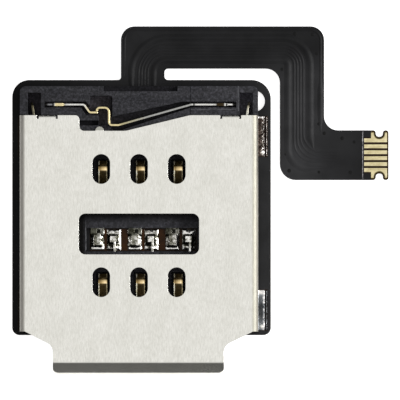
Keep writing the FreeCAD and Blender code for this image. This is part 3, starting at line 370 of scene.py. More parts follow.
def amber_film():
    """The film under the skin: dark amber inside the reader, and almost black between the fingers."""
    film = finish("amber_film", (0.07, 0.022, 0.005), 0.40, specular=0.10)
    cloud = speckle(film, (2.2, 2.2, 2.2))
    amber = ramp(film, cloud, [(0.30, (0.014, 0.0048, 0.0006)), (0.70, (0.036, 0.0125, 0.0013))])
    dark = ramp(film, cloud, [(0.30, (0.012, 0.005, 0.002)), (0.70, (0.022, 0.012, 0.006))])
    colour_from(film, blended(film, along(film, "X", *READER_TO_TAIL), amber, dark))
    gloss_from(film, cloud, 0.28, 0.45)
    relief_from(film, (cloud, 0.002))
    return film


def amber_laminate():
    """The stiffeners' laminate, amber with a faint cloth weave."""
    laminate = finish("amber_laminate", (0.16, 0.075, 0.02), 0.5, specular=0.4)
    cloud = speckle(laminate, (1.1, 1.1, 1.1))
    warp = speckle(laminate, (6.0, 0.8, 1.0), detail=1.0)
    weft = speckle(laminate, (0.8, 6.0, 1.0), detail=1.0)
    colour_from(laminate, ramp(laminate, cloud, [(0.30, (0.10, 0.045, 0.012)), (0.70, (0.20, 0.098, 0.028))]))
    gloss_from(laminate, cloud, 0.42, 0.58)
    relief_from(laminate, (warp, 0.003), (weft, 0.003))
    return laminate


def land_edges(gold):
    """Tarnish along the gaps between the fingers and round the outer lands."""
    dark_band = (0.10, 0.075, 0.03)
    clear = 1.0
    reach = 1.70
    stops = [(LAND_LOW - 0.04, dark_band), (LAND_LOW, clear)]
    for gap in FINGER_GAPS:
        middle = gap * FINGER_PITCH
        stops += [(middle - 0.086, clear), (middle - 0.066, dark_band),
                  (middle + 0.066, dark_band), (middle + 0.086, clear)]
    stops += [(LAND_HIGH, clear), (LAND_HIGH + 0.04, dark_band)]
    across = along(gold, "Y", FINGER_LINE - reach, FINGER_LINE + reach)
    return ramp(gold, across, [((place + reach) / (2 * reach), colour) for place, colour in stops])


def finger_gold():
    """Flash gold on the fingers, pale and finely streaked, and dull bare copper inside the reader."""
    gold = finish("finger_gold", (0.76, 0.66, 0.37), 0.34, metallic=1.0)
    mottle = speckle(gold, (3.0, 3.0, 3.0), detail=4.0)
    streak = speckle(gold, (0.9, 11.0, 3.0))
    mottled = ramp(gold, mottle, [(0.30, (0.66, 0.57, 0.32)), (0.70, (0.86, 0.78, 0.51))])
    streaked = ramp(gold, streak, [(0.32, (0.72, 0.70, 0.66)), (0.66, 1.0)])
    # Painted highlights near both ends of the fingers, bluish white just short of their tips, and darker at
    # the tips
    ends = ramp(gold, along(gold, "X", *FINGER_SPAN), [
        (0.0, 1.0), (0.10, (0.90, 0.89, 0.86)), (0.80, (0.93, 0.92, 0.90)),
        (0.92, (1.04, 1.05, 1.10)), (0.94, (0.70, 0.67, 0.58))])
    inside = ramp(gold, along(gold, "X", *READER_TO_TAIL), [(0.0, (0.06, 0.045, 0.03)), (1.0, 1.0)])
    worn = tinted(gold, mottled, streaked)
    shaped = tinted(gold, worn, ends)
    for side in SIDES.values():
        rim = ramp(gold, away_from(gold, NOTCH_X, FINGER_LINE + side * NOTCH_REACH, 0.50), [
            (0.72, (0.10, 0.09, 0.05)), (0.82, 1.0)])
        shaped = tinted(gold, shaped, rim)
    edged = tinted(gold, shaped, land_edges(gold))
    at_fingers = blended(gold, along(gold, "X", *LANDS_START), shaped, edged)
    colour_from(gold, tinted(gold, at_fingers, inside))
    gloss_from(gold, mottle, 0.26, 0.42)
    relief_from(gold, (streak, 0.0015))
    return gold


def contact_plating():
    """Gold on the arms' crowns with a painted highlight, painted shade with pale painted edge highlights on
    the rest of the arms, and bright tin on the flat tails with painted shade over their rear plates and left
    sides.
    """
    plating = finish("contact_plating", (0.80, 0.58, 0.26), 0.26, metallic=1.0)
    lines = speckle(plating, (14.0, 1.2, 3.0))
    streaked = ramp(plating, lines, [(0.30, (0.60, 0.44, 0.20)), (0.70, (0.84, 0.69, 0.42))])
    # Painted highlight and shade across each arm: a dark line near its left edge, brightest right of its
    # middle
    across = repeated(plating, "X", CONTACT_PITCH, ARM_SHIFT)
    lit = ramp(plating, across, [
        (0.385, (0.60, 0.58, 0.52)), (0.402, (0.55, 0.52, 0.46)), (0.414, (0.26, 0.23, 0.17)),
        (0.450, (0.48, 0.45, 0.38)), (0.520, (0.98, 0.96, 0.92)), (0.570, (1.32, 1.32, 1.42)),
        (0.610, (0.78, 0.76, 0.68))])
    # Painted shade on the arm away from its crown, with pale painted edge highlights along its sides; the
    # brown is this shade
    brown = (0.046, 0.031, 0.011)
    dark_band = ramp(plating, across, [
        (0.385, (1.0, 0.94, 0.76)), (0.405, (0.90, 0.82, 0.62)), (0.415, brown),
        (0.585, brown), (0.600, (0.50, 0.43, 0.27)), (0.615, (0.64, 0.57, 0.40))])
    up_the_arm = repeated(plating, "Y", ROW_SPACING, ROW_SPACING / 2)
    crowned = ramp(plating, up_the_arm, [
        (0.470, 0.03), (0.485, 0.06), (0.492, 1.0), (0.534, 1.0), (0.545, 0.12)])
    glint = ramp(plating, up_the_arm, [
        (0.470, 1.0), (0.492, (1.25, 1.24, 1.26)), (0.508, (0.92, 0.90, 0.86)),
        (0.536, (0.40, 0.37, 0.30))])
    glossy = tinted(plating, streaked, lit)
    bright = tinted(plating, glossy, glint)
    blotch = speckle(plating, (5.5, 5.5, 5.5), roughness=0.7)
    patches = ramp(plating, blotch, [(0.36, (0.50, 0.50, 0.46)), (0.62, 1.5)])
    patched = tinted(plating, dark_band, patches)
    gold = blended(plating, crowned, patched, bright)
    tin = ramp(plating, blotch, [(0.36, (0.10, 0.097, 0.070)), (0.48, (0.42, 0.41, 0.37)),
                                 (0.60, (0.80, 0.79, 0.76))])
    # Painted shade on the left side of each tail
    aside = repeated(plating, "X", CONTACT_PITCH, TAIL_OFFSETS["rear"])
    tone_and_shading = ramp(plating, aside, [
        (0.30, (0.30, 0.30, 0.26)), (0.47, (0.36, 0.36, 0.32)), (0.56, 1.0)])
    sides = tinted(plating, tin, tone_and_shading)
    # Painted shade over the rear plates, and a little painted light in front of them
    plate = (0.32, 0.32, 0.30)
    plate_shade = ramp(plating, along(plating, "Y", *TAIL_PLATES), [
        (0.0, 1.1), (0.50, 1.1), (0.58, plate), (1.0, plate)])
    tails = tinted(plating, sides, plate_shade)
    risen = along(plating, "Z", *ARM_RISE)
    colour_from(plating, blended(plating, risen, tails, gold))
    rough_arm = ramp(plating, up_the_arm, [
        (0.455, 0.70), (0.480, 0.55), (0.490, 0.24), (0.530, 0.26), (0.545, 0.50), (0.700, 0.26)])
    plating.node_tree.links.new(rough_arm, shader_of(plating).inputs["Roughness"])
    relief_from(plating, (lines, 0.0015))
    return plating


def spring_plating():
    """The switch strips: tin, gold at the landing and the foot of the arm, and painted shade with small
    painted glints towards the anchored ends.
    """
    plating = finish("spring_plating", (0.75, 0.70, 0.58), 0.30, metallic=1.0)
    start, end = STRIP_SPAN
    tin = (0.74, 0.73, 0.69)
    gold = (0.80, 0.68, 0.38)
    dim = (0.45, 0.44, 0.41)
    olive = (0.50, 0.45, 0.26)
    worn = (0.40, 0.40, 0.38)
    grey = (0.22, 0.22, 0.23)
    black = (0.02, 0.019, 0.018)
    brown = (0.045, 0.032, 0.016)

    def spot(x):
        return (x - start) / (end - start)

    # Towards the anchored ends the dark bands are painted shade and the short pale bands between them painted
    # glints
    bands = [(-6.20, black), (-6.12, grey), (-5.85, grey), (-5.82, black), (-5.73, black), (-5.69, tin),
             (-5.62, gold), (-5.08, gold), (-4.95, dim), (-4.88, tin), (-3.70, tin), (-3.35, gold),
             (-1.40, gold), (-1.10, olive), (0.60, worn), (3.50, worn), (3.62, tin), (3.67, black),
             (3.74, black), (3.78, tin), (4.95, tin), (5.02, dim), (5.12, tin), (5.26, brown), (5.72, brown),
             (5.76, tin), (5.85, tin), (5.88, black), (5.95, black), (5.98, tin), (6.26, tin), (6.34, black)]
    grain = speckle(plating, (9.0, 9.0, 4.0))
    banded = ramp(plating, along(plating, "X", start, end), [(spot(x), colour) for x, colour in bands])
    shaded = ramp(plating, grain, [(0.30, 0.70), (0.70, 1.0)])
    colour_from(plating, tinted(plating, banded, shaded))
    gloss_from(plating, grain, 0.22, 0.38)
    relief_from(plating, (grain, 0.002))
    return plating


def latch_plating():
    """The tray springs: dull gold, with painted shade towards their free ends and over the left one."""
    plating = finish("latch_plating", (0.60, 0.52, 0.36), 0.32, metallic=1.0)
    grain = speckle(plating, (8.0, 8.0, 8.0))
    # Painted shade towards the springs' free ends
    painted_shade = ramp(plating, along(plating, "Y", *LATCH_SPAN), [
        (0.0, (0.78, 0.77, 0.71)), (0.45, (0.62, 0.59, 0.50)), (0.70, (0.40, 0.37, 0.28)),
        (0.80, (0.03, 0.027, 0.02))])
    shaded = ramp(plating, grain, [(0.30, 0.70), (0.70, 1.0)])
    grained = tinted(plating, painted_shade, shaded)
    # Painted shade over the left spring
    tone_and_shading = ramp(plating, across_shell(plating), [
        (0.45, (0.20, 0.19, 0.15)), (0.55, (0.85, 0.85, 0.82))])
    colour_from(plating, tinted(plating, grained, tone_and_shading))
    gloss_from(plating, grain, 0.24, 0.40)
    relief_from(plating, (grain, 0.002))
    return plating


def soldered(name, colour, roughness, grains_per_mm, shades, worn, gloss, relief):
    """Solder whose points carry their own painted light and shade, dark with flux where it is low, specked
    all over.
    """
    solder = finish(name, colour, roughness, metallic=1.0)
    specks = speckle(solder, grains_per_mm)
    tone_and_shading = ramp(solder, painted(solder, "shine"), shades)
    specked = ramp(solder, specks, [(0.30, worn), (0.60, 1.0)])
    colour_from(solder, tinted(solder, tone_and_shading, specked))
    gloss_from(solder, specks, *gloss)
    relief_from(solder, (specks, relief))
    return solder


def bright_solder():
    """Reflowed solder, bright with painted highlight where its points shine and black with flux and painted
    shade where they do not.
    """
    shades = [(0.0, (0.010, 0.010, 0.008)), (0.30, (0.070, 0.068, 0.050)),
              (0.60, (0.36, 0.35, 0.32)), (0.95, (0.80, 0.79, 0.76))]
    return soldered("bright_solder", (0.80, 0.80, 0.77), 0.18, (9.0, 9.0, 9.0), shades,
                    worn=(0.62, 0.61, 0.58), gloss=(0.26, 0.14), relief=0.0015)


def burnt_solder():
    """Hand-touched solder on the rear foot: threads of painted highlight where its points shine, in brown
    flux and painted shade.
    """
    shades = [(0.0, (0.012, 0.009, 0.008)), (0.25, (0.055, 0.040, 0.033)),
              (0.55, (0.26, 0.235, 0.22)), (0.95, (0.80, 0.78, 0.76))]
    return soldered("burnt_solder", (0.55, 0.50, 0.45), 0.22, (8.0, 5.0, 8.0), shades,
                    worn=(0.60, 0.58, 0.56), gloss=(0.36, 0.18), relief=0.002)


def smeared_solder():
    """Solder smeared thin and smooth over the front foot: grey where it is thin, with painted highlights at
    its edges.
    """
    shades = [(0.0, (0.012, 0.011, 0.010)), (0.20, (0.050, 0.053, 0.056)),
              (0.50, (0.19, 0.20, 0.21)), (0.95, (0.78, 0.76, 0.74))]
    return soldered("smeared_solder", (0.50, 0.50, 0.50), 0.26, (7.0, 4.0, 7.0), shades,
                    worn=(0.72, 0.71, 0.70), gloss=(0.34, 0.20), relief=0.0012)


def skin_end_highlight():
    """A broken line of painted highlight along the skin's cut end."""
    edge_light = finish("skin_end_highlight", (0.20, 0.20, 0.20), 0.4, specular=0.3)
    dashes = speckle(edge_light, (3.0, 3.4, 3.0))
    colour_from(edge_light, ramp(edge_light, dashes, [(0.36, (0.03, 0.03, 0.032)), (0.50, (0.13, 0.12, 0.13)),
                                         (0.66, (0.36, 0.35, 0.36))]))
    gloss_from(edge_light, dashes, 0.30, 0.50)
    return edge_light


def pit_shade_dot():
    """Dull black painted as the shade in a via's pit under the skin."""
    dot = finish("pit_shade_dot", (0.002, 0.002, 0.002), 0.5, specular=0.12)
    grain = speckle(dot, (9.0, 9.0, 9.0), detail=2.0)
    colour_from(dot, ramp(dot, grain, [(0.30, 0.001), (0.70, 0.005)]))
    gloss_from(dot, grain, 0.40, 0.60)
    return dot


STEEL = plated_steel()
MOULDING = dark_moulding()
FLASH = highlit_flash()
SKIN = black_skin()
FILM = amber_film()
LAMINATE = amber_laminate()
GOLD = finger_gold()
PLATING = contact_plating()
STRIP = spring_plating()
LATCH = latch_plating()
SOLDER = bright_solder()
BURNT = burnt_solder()
SMEARED = smeared_solder()
PIT_SHADE = pit_shade_dot()
END_HIGHLIGHT = skin_end_highlight()


# Pieces

EASE = 0.015
MERGED = 0.0002
FLAT_ANGLE = math.radians(0.5)
BEVEL_ANGLE = math.radians(30)
SHARP_ANGLE = math.radians(15)


def carry(piece, material_slot, *replaced):
    """Let a finished piece ride on the part, and stand for the solids that it replaces."""
    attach(piece, BODY)
    if replaced:
        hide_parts(*replaced)
    return piece


def new_piece(name, mesh, material):
    piece = bpy.data.objects.new(name, mesh)
    scene.collection.objects.link(piece)
    mesh.materials.clear()
    mesh.materials.append(material)
    return piece


def settled(piece):
    """Turn a piece's modifiers into a plain mesh."""
    depsgraph = bpy.context.evaluated_depsgraph_get()
    mesh = bpy.data.meshes.new_from_object(piece.evaluated_get(depsgraph))
    piece.modifiers.clear()
    piece.data = mesh
    return piece


def eased(node, material, material_slot):
    """A copy of a solid whose sharp edges are eased by a small round."""
    mesh = nodes[node].data.copy()
    shape = bmesh.new()
    shape.from_mesh(mesh)
    bmesh.ops.remove_doubles(shape, verts=shape.verts, dist=MERGED * MM)
    bmesh.ops.dissolve_limit(shape, angle_limit=FLAT_ANGLE, verts=shape.verts, edges=shape.edges)
    shape.to_mesh(mesh)
    shape.free()
    for name in ("custom_normal", "sharp_face", "sharp_edge"):
        if name in mesh.attributes:
            mesh.attributes.remove(mesh.attributes[name])
    mesh.shade_smooth()
    piece = new_piece(f"{node}_eased", mesh, material)
    bevel = piece.modifiers.new("ease", "BEVEL")
    bevel.width = EASE * MM
    bevel.segments = 2
    bevel.limit_method = "ANGLE"
    bevel.angle_limit = BEVEL_ANGLE
    bevel.use_clamp_overlap = False
    settled(piece)
    piece.data.set_sharp_from_angle(angle=SHARP_ANGLE)
    return carry(piece, material_slot, node)


def dress(node, material):
    """Give a solid that stays as it is its finish."""
    mesh = nodes[node].data
    mesh.materials.clear()
    mesh.materials.append(material)


def new_group(name, sizes):
    """A node group that takes lines or points, named sizes and a finish, and gives a mesh."""
    group = bpy.data.node_groups.new(name, "GeometryNodeTree")
    group.interface.new_socket("Lines", in_out="INPUT", socket_type="NodeSocketGeometry")
    for size in sizes:
        group.interface.new_socket(size, in_out="INPUT", socket_type="NodeSocketFloat")
    group.interface.new_socket("Finish", in_out="INPUT", socket_type="NodeSocketMaterial")
    group.interface.new_socket("Mesh", in_out="OUTPUT", socket_type="NodeSocketGeometry")
    return group


def close_group(group, start, mesh):
    """The last steps of each group: one real mesh, smooth, in its finish."""
    real = group.nodes.new("GeometryNodeRealizeInstances")
    smooth = group.nodes.new("GeometryNodeSetShadeSmooth")
    paint = group.nodes.new("GeometryNodeSetMaterial")
    end = group.nodes.new("NodeGroupOutput")
    group.links.new(mesh, real.inputs["Geometry"])
    group.links.new(real.outputs["Geometry"], smooth.inputs["Geometry"])
    group.links.new(smooth.outputs["Geometry"], paint.inputs["Geometry"])
    group.links.new(start.outputs["Finish"], paint.inputs["Material"])
    group.links.new(paint.outputs["Geometry"], end.inputs["Mesh"])


def named_value(group, name):
    """A value that a group's own points carry."""
    reader = added(group, "GeometryNodeInputNamedAttribute", {"Name": name}, data_type="FLOAT")
    return reader.outputs["Attribute"]


def ridge_group():
    """Low bell-shaped ridges along lines, which turn by each point's own radius and swell by its share."""
    group = new_group("ridges", ("Width", "Height"))
    start = group.nodes.new("NodeGroupInput")
    curve = group.nodes.new("GeometryNodeMeshToCurve")
    fillet = added(group, "GeometryNodeFilletCurve", {"Count": 14, "Limit Radius": True}, mode="POLY")
    upright = added(group, "GeometryNodeSetCurveNormal", mode="Z_UP")
    ends = {"Start": (-1.0, 0.0, 0.0), "End": (1.0, 0.0, 0.0)}
    across = added(group, "GeometryNodeCurvePrimitiveLine", ends)
    steps = added(group, "GeometryNodeResampleCurve", {"Count": 13})
    spot = group.nodes.new("GeometryNodeInputPosition")
    split = group.nodes.new("ShaderNodeSeparateXYZ")
    turned = maths(group, "MULTIPLY", math.pi)
    wave = maths(group, "COSINE")
    bell = maths(group, "MULTIPLY_ADD", -0.5, -0.5)
    rise = group.nodes.new("ShaderNodeCombineXYZ")
    arch = group.nodes.new("GeometryNodeSetPosition")
    half = maths(group, "MULTIPLY", 0.5)
    scale = group.nodes.new("ShaderNodeCombineXYZ")
    flat = group.nodes.new("GeometryNodeTransform")
    closed = added(group, "GeometryNodeSetSplineCyclic", {"Cyclic": True})
    sweep = added(group, "GeometryNodeCurveToMesh", {"Fill Caps": True})
    link = group.links.new
    link(start.outputs["Lines"], curve.inputs["Mesh"])
    link(curve.outputs["Curve"], fillet.inputs["Curve"])
    link(named_value(group, "turn"), fillet.inputs["Radius"])
    link(fillet.outputs["Curve"], upright.inputs["Curve"])
    link(start.outputs["Width"], half.inputs[0])
    link(half.outputs[0], scale.inputs["X"])
    link(start.outputs["Height"], scale.inputs["Y"])
    link(across.outputs["Curve"], steps.inputs["Curve"])
    link(steps.outputs["Curve"], arch.inputs["Geometry"])
    link(spot.outputs["Position"], split.inputs["Vector"])
    link(split.outputs["X"], turned.inputs[0])
    link(turned.outputs[0], wave.inputs[0])
    link(wave.outputs[0], bell.inputs[0])
    link(bell.outputs[0], rise.inputs["Y"])
    link(rise.outputs["Vector"], arch.inputs["Offset"])
    link(arch.outputs["Geometry"], closed.inputs["Geometry"])
    link(closed.outputs["Geometry"], flat.inputs["Geometry"])
    link(scale.outputs["Vector"], flat.inputs["Scale"])
    link(upright.outputs["Curve"], sweep.inputs["Curve"])
    link(flat.outputs["Geometry"], sweep.inputs["Profile Curve"])
    link(named_value(group, "swell"), sweep.inputs["Scale"])
    close_group(group, start, sweep.outputs["Mesh"])
    return group


def dot_group():
    """Low round dots on points, a little uneven in size."""
    group = new_group("dots", ("Width", "Height"))
    start = group.nodes.new("NodeGroupInput")
    ball = added(group, "GeometryNodeMeshUVSphere", {"Segments": 20, "Rings": 10, "Radius": 0.5})
    scale = group.nodes.new("ShaderNodeCombineXYZ")
    flat = group.nodes.new("GeometryNodeTransform")
    share = added(group, "FunctionNodeRandomValue", {2: 0.8, 3: 1.2, "Seed": 4}, data_type="FLOAT")
    spread = group.nodes.new("GeometryNodeInstanceOnPoints")
    link = group.links.new
    link(start.outputs["Width"], scale.inputs["X"])
    link(start.outputs["Width"], scale.inputs["Y"])
    link(start.outputs["Height"], scale.inputs["Z"])
    link(ball.outputs["Mesh"], flat.inputs["Geometry"])
    link(scale.outputs["Vector"], flat.inputs["Scale"])
    link(start.outputs["Lines"], spread.inputs["Points"])
    link(flat.outputs["Geometry"], spread.inputs["Instance"])
    link(share.outputs[1], spread.inputs["Scale"])
    close_group(group, start, spread.outputs["Instances"])
    return group


def grown(piece, group, sizes, material):
    """Run a node group on a piece with sizes in millimetres, and keep the plain mesh."""
    growth = piece.modifiers.new("growth", "NODES")
    growth.node_group = group
    for socket in group.interface.items_tree:
        if socket.in_out == "INPUT" and socket.name in sizes:
            growth[socket.identifier] = sizes[socket.name] * MM
        elif socket.in_out == "INPUT" and socket.name == "Finish":
            growth[socket.identifier] = material
    settled(piece)
    shape = bmesh.new()
    shape.from_mesh(piece.data)
    bmesh.ops.recalc_face_normals(shape, faces=shape.faces)
    shape.to_mesh(piece.data)
    shape.free()
    return piece


def line_piece(name, lines, level, material):
    """A piece of bare lines: each point is (x, y, turn, swell), sunk a little in a level; millimetres."""
    places = []
    edges = []
    turns = []
    swells = []
    for line in lines:
        first = len(places)
        for x, y, turn, swell in line:
            places.append((x * MM, y * MM, (level - SUNK) * MM))
            turns.append(turn * MM)
            swells.append(swell)
        edges.extend((index, index + 1) for index in range(first, len(places) - 1))
    mesh = bpy.data.meshes.new(name)
    mesh.from_pydata(places, edges, [])
    for attribute_name, values in (("turn", turns), ("swell", swells)):
        attribute = mesh.attributes.new(attribute_name, "FLOAT", "POINT")
        attribute.data.foreach_set("value", values)
    return new_piece(name, mesh, material)


# The copper lines that show through the skin as ridges

SIDE_MIDDLE = 10.90
UPPER_MIDDLE = 12.02
ROOT_MIDDLE = 0.14
HEEL_TURN = 1.30
SIDE_TURN = 1.20
ROOT_TURN = 1.72
ROOT_END = block_rear + 0.05
FINE_LANES = (0.1875, -0.0175, -0.2225, -0.4275)
OUTER_LANE = 0.66
INNER_LANE = -0.84
FINE_END = 13.6
WIDE_END = 12.8
SIDE_RIGHT = 12.49
UPPER_TOP = 13.45
ROOT_LEFT = -1.23
EDGE_INSET = 0.24
EDGE_TURN = 0.70
FADED = 0.12
SKIN_END = 15.09
RUN_HALF_WIDTH = 1.62
END_RIDGE_SWELL = 0.8
SUNK = 0.002
# Thin flash that the mould left on the rear block, as lines of (x, y, turn, swell)
FLASH_LINES = (
    ((3.52, 7.81, 0.0, 1.0), (6.55, 7.81, 0.0, 0.7)),
    ((6.67, 9.40, 0.0, 0.6), (6.67, 7.70, 0.0, 1.0)),
)
# The burr along the left edge of the floor's opening, pale with painted highlight, as a line of the same kind
BURR_X = -3.61
BURR_SWELLS = ((0.35, 0.5), (-0.20, 0.5), (-0.40, 1.0), (-1.68, 1.0))
OPENING_BURR = [(BURR_X, y, 0.0, swell) for y, swell in BURR_SWELLS]
FLOOR_THICK = 0.50


def far_lane(lane):
    """The part of a lane above the finger run: up the side, along the top and down the root."""
    return [
        (SIDE_MIDDLE + lane, UPPER_MIDDLE + lane, SIDE_TURN + lane, 1.0),
        (ROOT_MIDDLE - lane, UPPER_MIDDLE + lane, ROOT_TURN + lane, 0.9),
        (ROOT_MIDDLE - lane, ROOT_END, 0.0, 0.7),
    ]


def whole_lane(lane, end):
    """A lane that turns into the finger run and fades there."""
    return [
        (end, FINGER_LINE + lane, 0.0, FADED),
        (SIDE_MIDDLE + lane, FINGER_LINE + lane, HEEL_TURN, 1.0),
    ] + far_lane(lane)


def stopped_lane(lane):
    """The outer wide lane, which fades where the finger run begins."""
    side_x = SIDE_MIDDLE + lane
    return [(side_x + 0.22, 5.15, 0.0, FADED), (side_x, 6.0, 0.6, 1.0)] + far_lane(lane)


def rolled_edge():
    """The film's outer edge, which rolls down a little."""
    right = SIDE_RIGHT - EDGE_INSET
    top = UPPER_TOP - EDGE_INSET
    left = ROOT_LEFT + EDGE_INSET
    return [(right, 6.2, 0.0, FADED), (right, 7.4, 0.0, 1.0), (right, 9.1, 0.0, 1.0), (right, 9.9, 0.0, 0.5),
            (right, top, EDGE_TURN, 0.5), (left, top, EDGE_TURN, 0.5), (left, 10.1, 0.0, FADED)]


def skin_end():
    """Across the finger run, just short of the fingers."""
    return [(SKIN_END, FINGER_LINE + side * RUN_HALF_WIDTH, 0.0, END_RIDGE_SWELL) for side in SIDES.values()]


def thin_ridges():
    """The ridges over the copper lines, the film's edge, a ridge of painted highlight at the skin's cut end,
    and the moulding's flash and burr in a paler painted highlight.
    """
    group = ridge_group()

    def raised(name, lines, width, height, level=skin_top, material=SKIN, material_slot="black_film"):
        piece = line_piece(name, lines, level, material)
        carry(grown(piece, group, {"Width": width, "Height": height}, material), material_slot)

    fine_lanes = [whole_lane(lane, FINE_END) for lane in FINE_LANES]
    raised("fine_line_ridges", fine_lanes, width=0.20, height=0.030)
    wide_lanes = [stopped_lane(OUTER_LANE), whole_lane(INNER_LANE, WIDE_END)]
    raised("wide_line_ridges", wide_lanes, width=0.56, height=0.075)
    raised("rolled_film_edge", [rolled_edge()], width=0.44, height=0.075)
    raised("skin_end_ridge", [skin_end()], width=0.10, height=0.014, material=END_HIGHLIGHT)
    on_block = {"material": FLASH, "material_slot": "moulding"}
    raised("moulding_flash", FLASH_LINES, width=0.08, height=0.030, level=block_top, **on_block)
    raised("opening_burr", [OPENING_BURR], width=0.10, height=0.030, level=skin_top + FLOOR_THICK, **on_block)


# Vias, as dots of painted shade, placed one by one
VIA_PIXELS = ((289.1, 170.7), (319.0, 172.1), (350.3, 172.5), (285.9, 154.1), (342.1, 138.3), (354.1, 142.0),
              (318.7, 123.9), (324.2, 133.3), (294.9, 34.0), (312.7, 34.4), (316.7, 53.6), (282.0, 69.3),
              (158.0, 64.0))


def via_dots():
    """Small dots painted dark as the shade of the pits where the film's two sides are joined."""
    mesh = bpy.data.meshes.new("via_dots")
    mesh.from_pydata([(*from_photo(*pixel), skin_top * MM) for pixel in VIA_PIXELS], [], [])
    dots = new_piece("via_dots", mesh, PIT_SHADE)
    carry(grown(dots, dot_group(), {"Width": 0.24, "Height": 0.02}, PIT_SHADE), "black_film")


# Solder

def height_sheet(name, low, high, cells, top, bottom, shine, material):
    """A closed lump of solder between two heights over a rectangle in millimetres, with its points' shine."""
    columns, rows = cells
    stride = columns + 1
    places = []
    shines = []
    for level in (top, bottom):
        for row in range(rows + 1):
            for column in range(columns + 1):
                x = low[0] + (high[0] - low[0]) * column / columns
                y = low[1] + (high[1] - low[1]) * row / rows
                places.append((x * MM, y * MM, level(x, y) * MM))
                shines.append(min(max(shine(x, y), 0.0), 1.0))
    under = stride * (rows + 1)
    faces = []
    for row in range(rows):
        for column in range(columns):
            corner = row * stride + column
            ring = (corner, corner + 1, corner + stride + 1, corner + stride)
            faces.append(ring)
            faces.append(tuple(under + index for index in reversed(ring)))
    border = list(range(columns))
    border += [row * stride + columns for row in range(rows)]
    border += [rows * stride + column for column in range(columns, 0, -1)]
    border += [row * stride for row in range(rows, 0, -1)]
    for here, there in zip(border, border[1:] + border[:1]):
        faces.append((there, here, under + here, under + there))
    mesh = bpy.data.meshes.new(name)
    mesh.from_pydata(places, [], faces)
    attribute = mesh.attributes.new("shine", "FLOAT", "POINT")
    attribute.data.foreach_set("value", shines)
    mesh.shade_smooth()
    return new_piece(name, mesh, material)


def bump_at(place, middle, width):
    """A smooth hump of height 1 about a middle."""
    return math.exp(-((place - middle) / width) ** 2)


def plane_limits(node):
    """A solid's low and high corner in plan, in millimetres."""
    low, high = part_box(node)
    return (low.x / MM, low.y / MM), (high.x / MM, high.y / MM)


def waves(x, y, size, seed):
    """Smooth noise of about -1 to 1, with lumps of a size in millimetres."""
    return noise.noise(Vector((x / size, y / size, seed)))


COPPER_TOP = 0.32
# Each tail's metal: (left, front, right, rear) from its own middle line
REAR_PLATE = (-0.45, -0.59, 0.45, -0.10)
TAIL_METAL = {
    "rear": ((-0.225, -1.32, 0.225, -0.10), REAR_PLATE),
    "front": ((-0.26, -1.11, 0.16, -0.71), (-0.02, -1.82, 0.12, -0.71)),
}
TAIL_TOP = skin_top + 0.12
PAD_CROWN = 0.05
PAD_ROUND = 0.08
WET_HEIGHT = 0.11
WET_SPREAD = 0.12
END_LIP = 0.035
END_SLOPE = 0.30
UNDER_TAIL = 0.003
BELOW_TAIL_TOP = 0.004
THIN = 0.002
# Lines across the tails where the solder's painted light and shade change
TAIL_END = -1.37
PLATE_LINE = -0.66
FRONT_SHADE_LINE = -1.30
PALE_BEFORE = {"rear": -1.43, "front": -1.40}
PALE_BEHIND = -0.58


def beyond(x, y, rectangle):
    """How far a place lies outside a rectangle, and less than nothing inside it."""
    left, front, right, rear = rectangle
    aside = max(left - x, x - right)
    along_y = max(front - y, y - rear)
    if aside < 0 and along_y < 0:
        return max(aside, along_y)
    return math.hypot(max(aside, 0.0), max(along_y, 0.0))


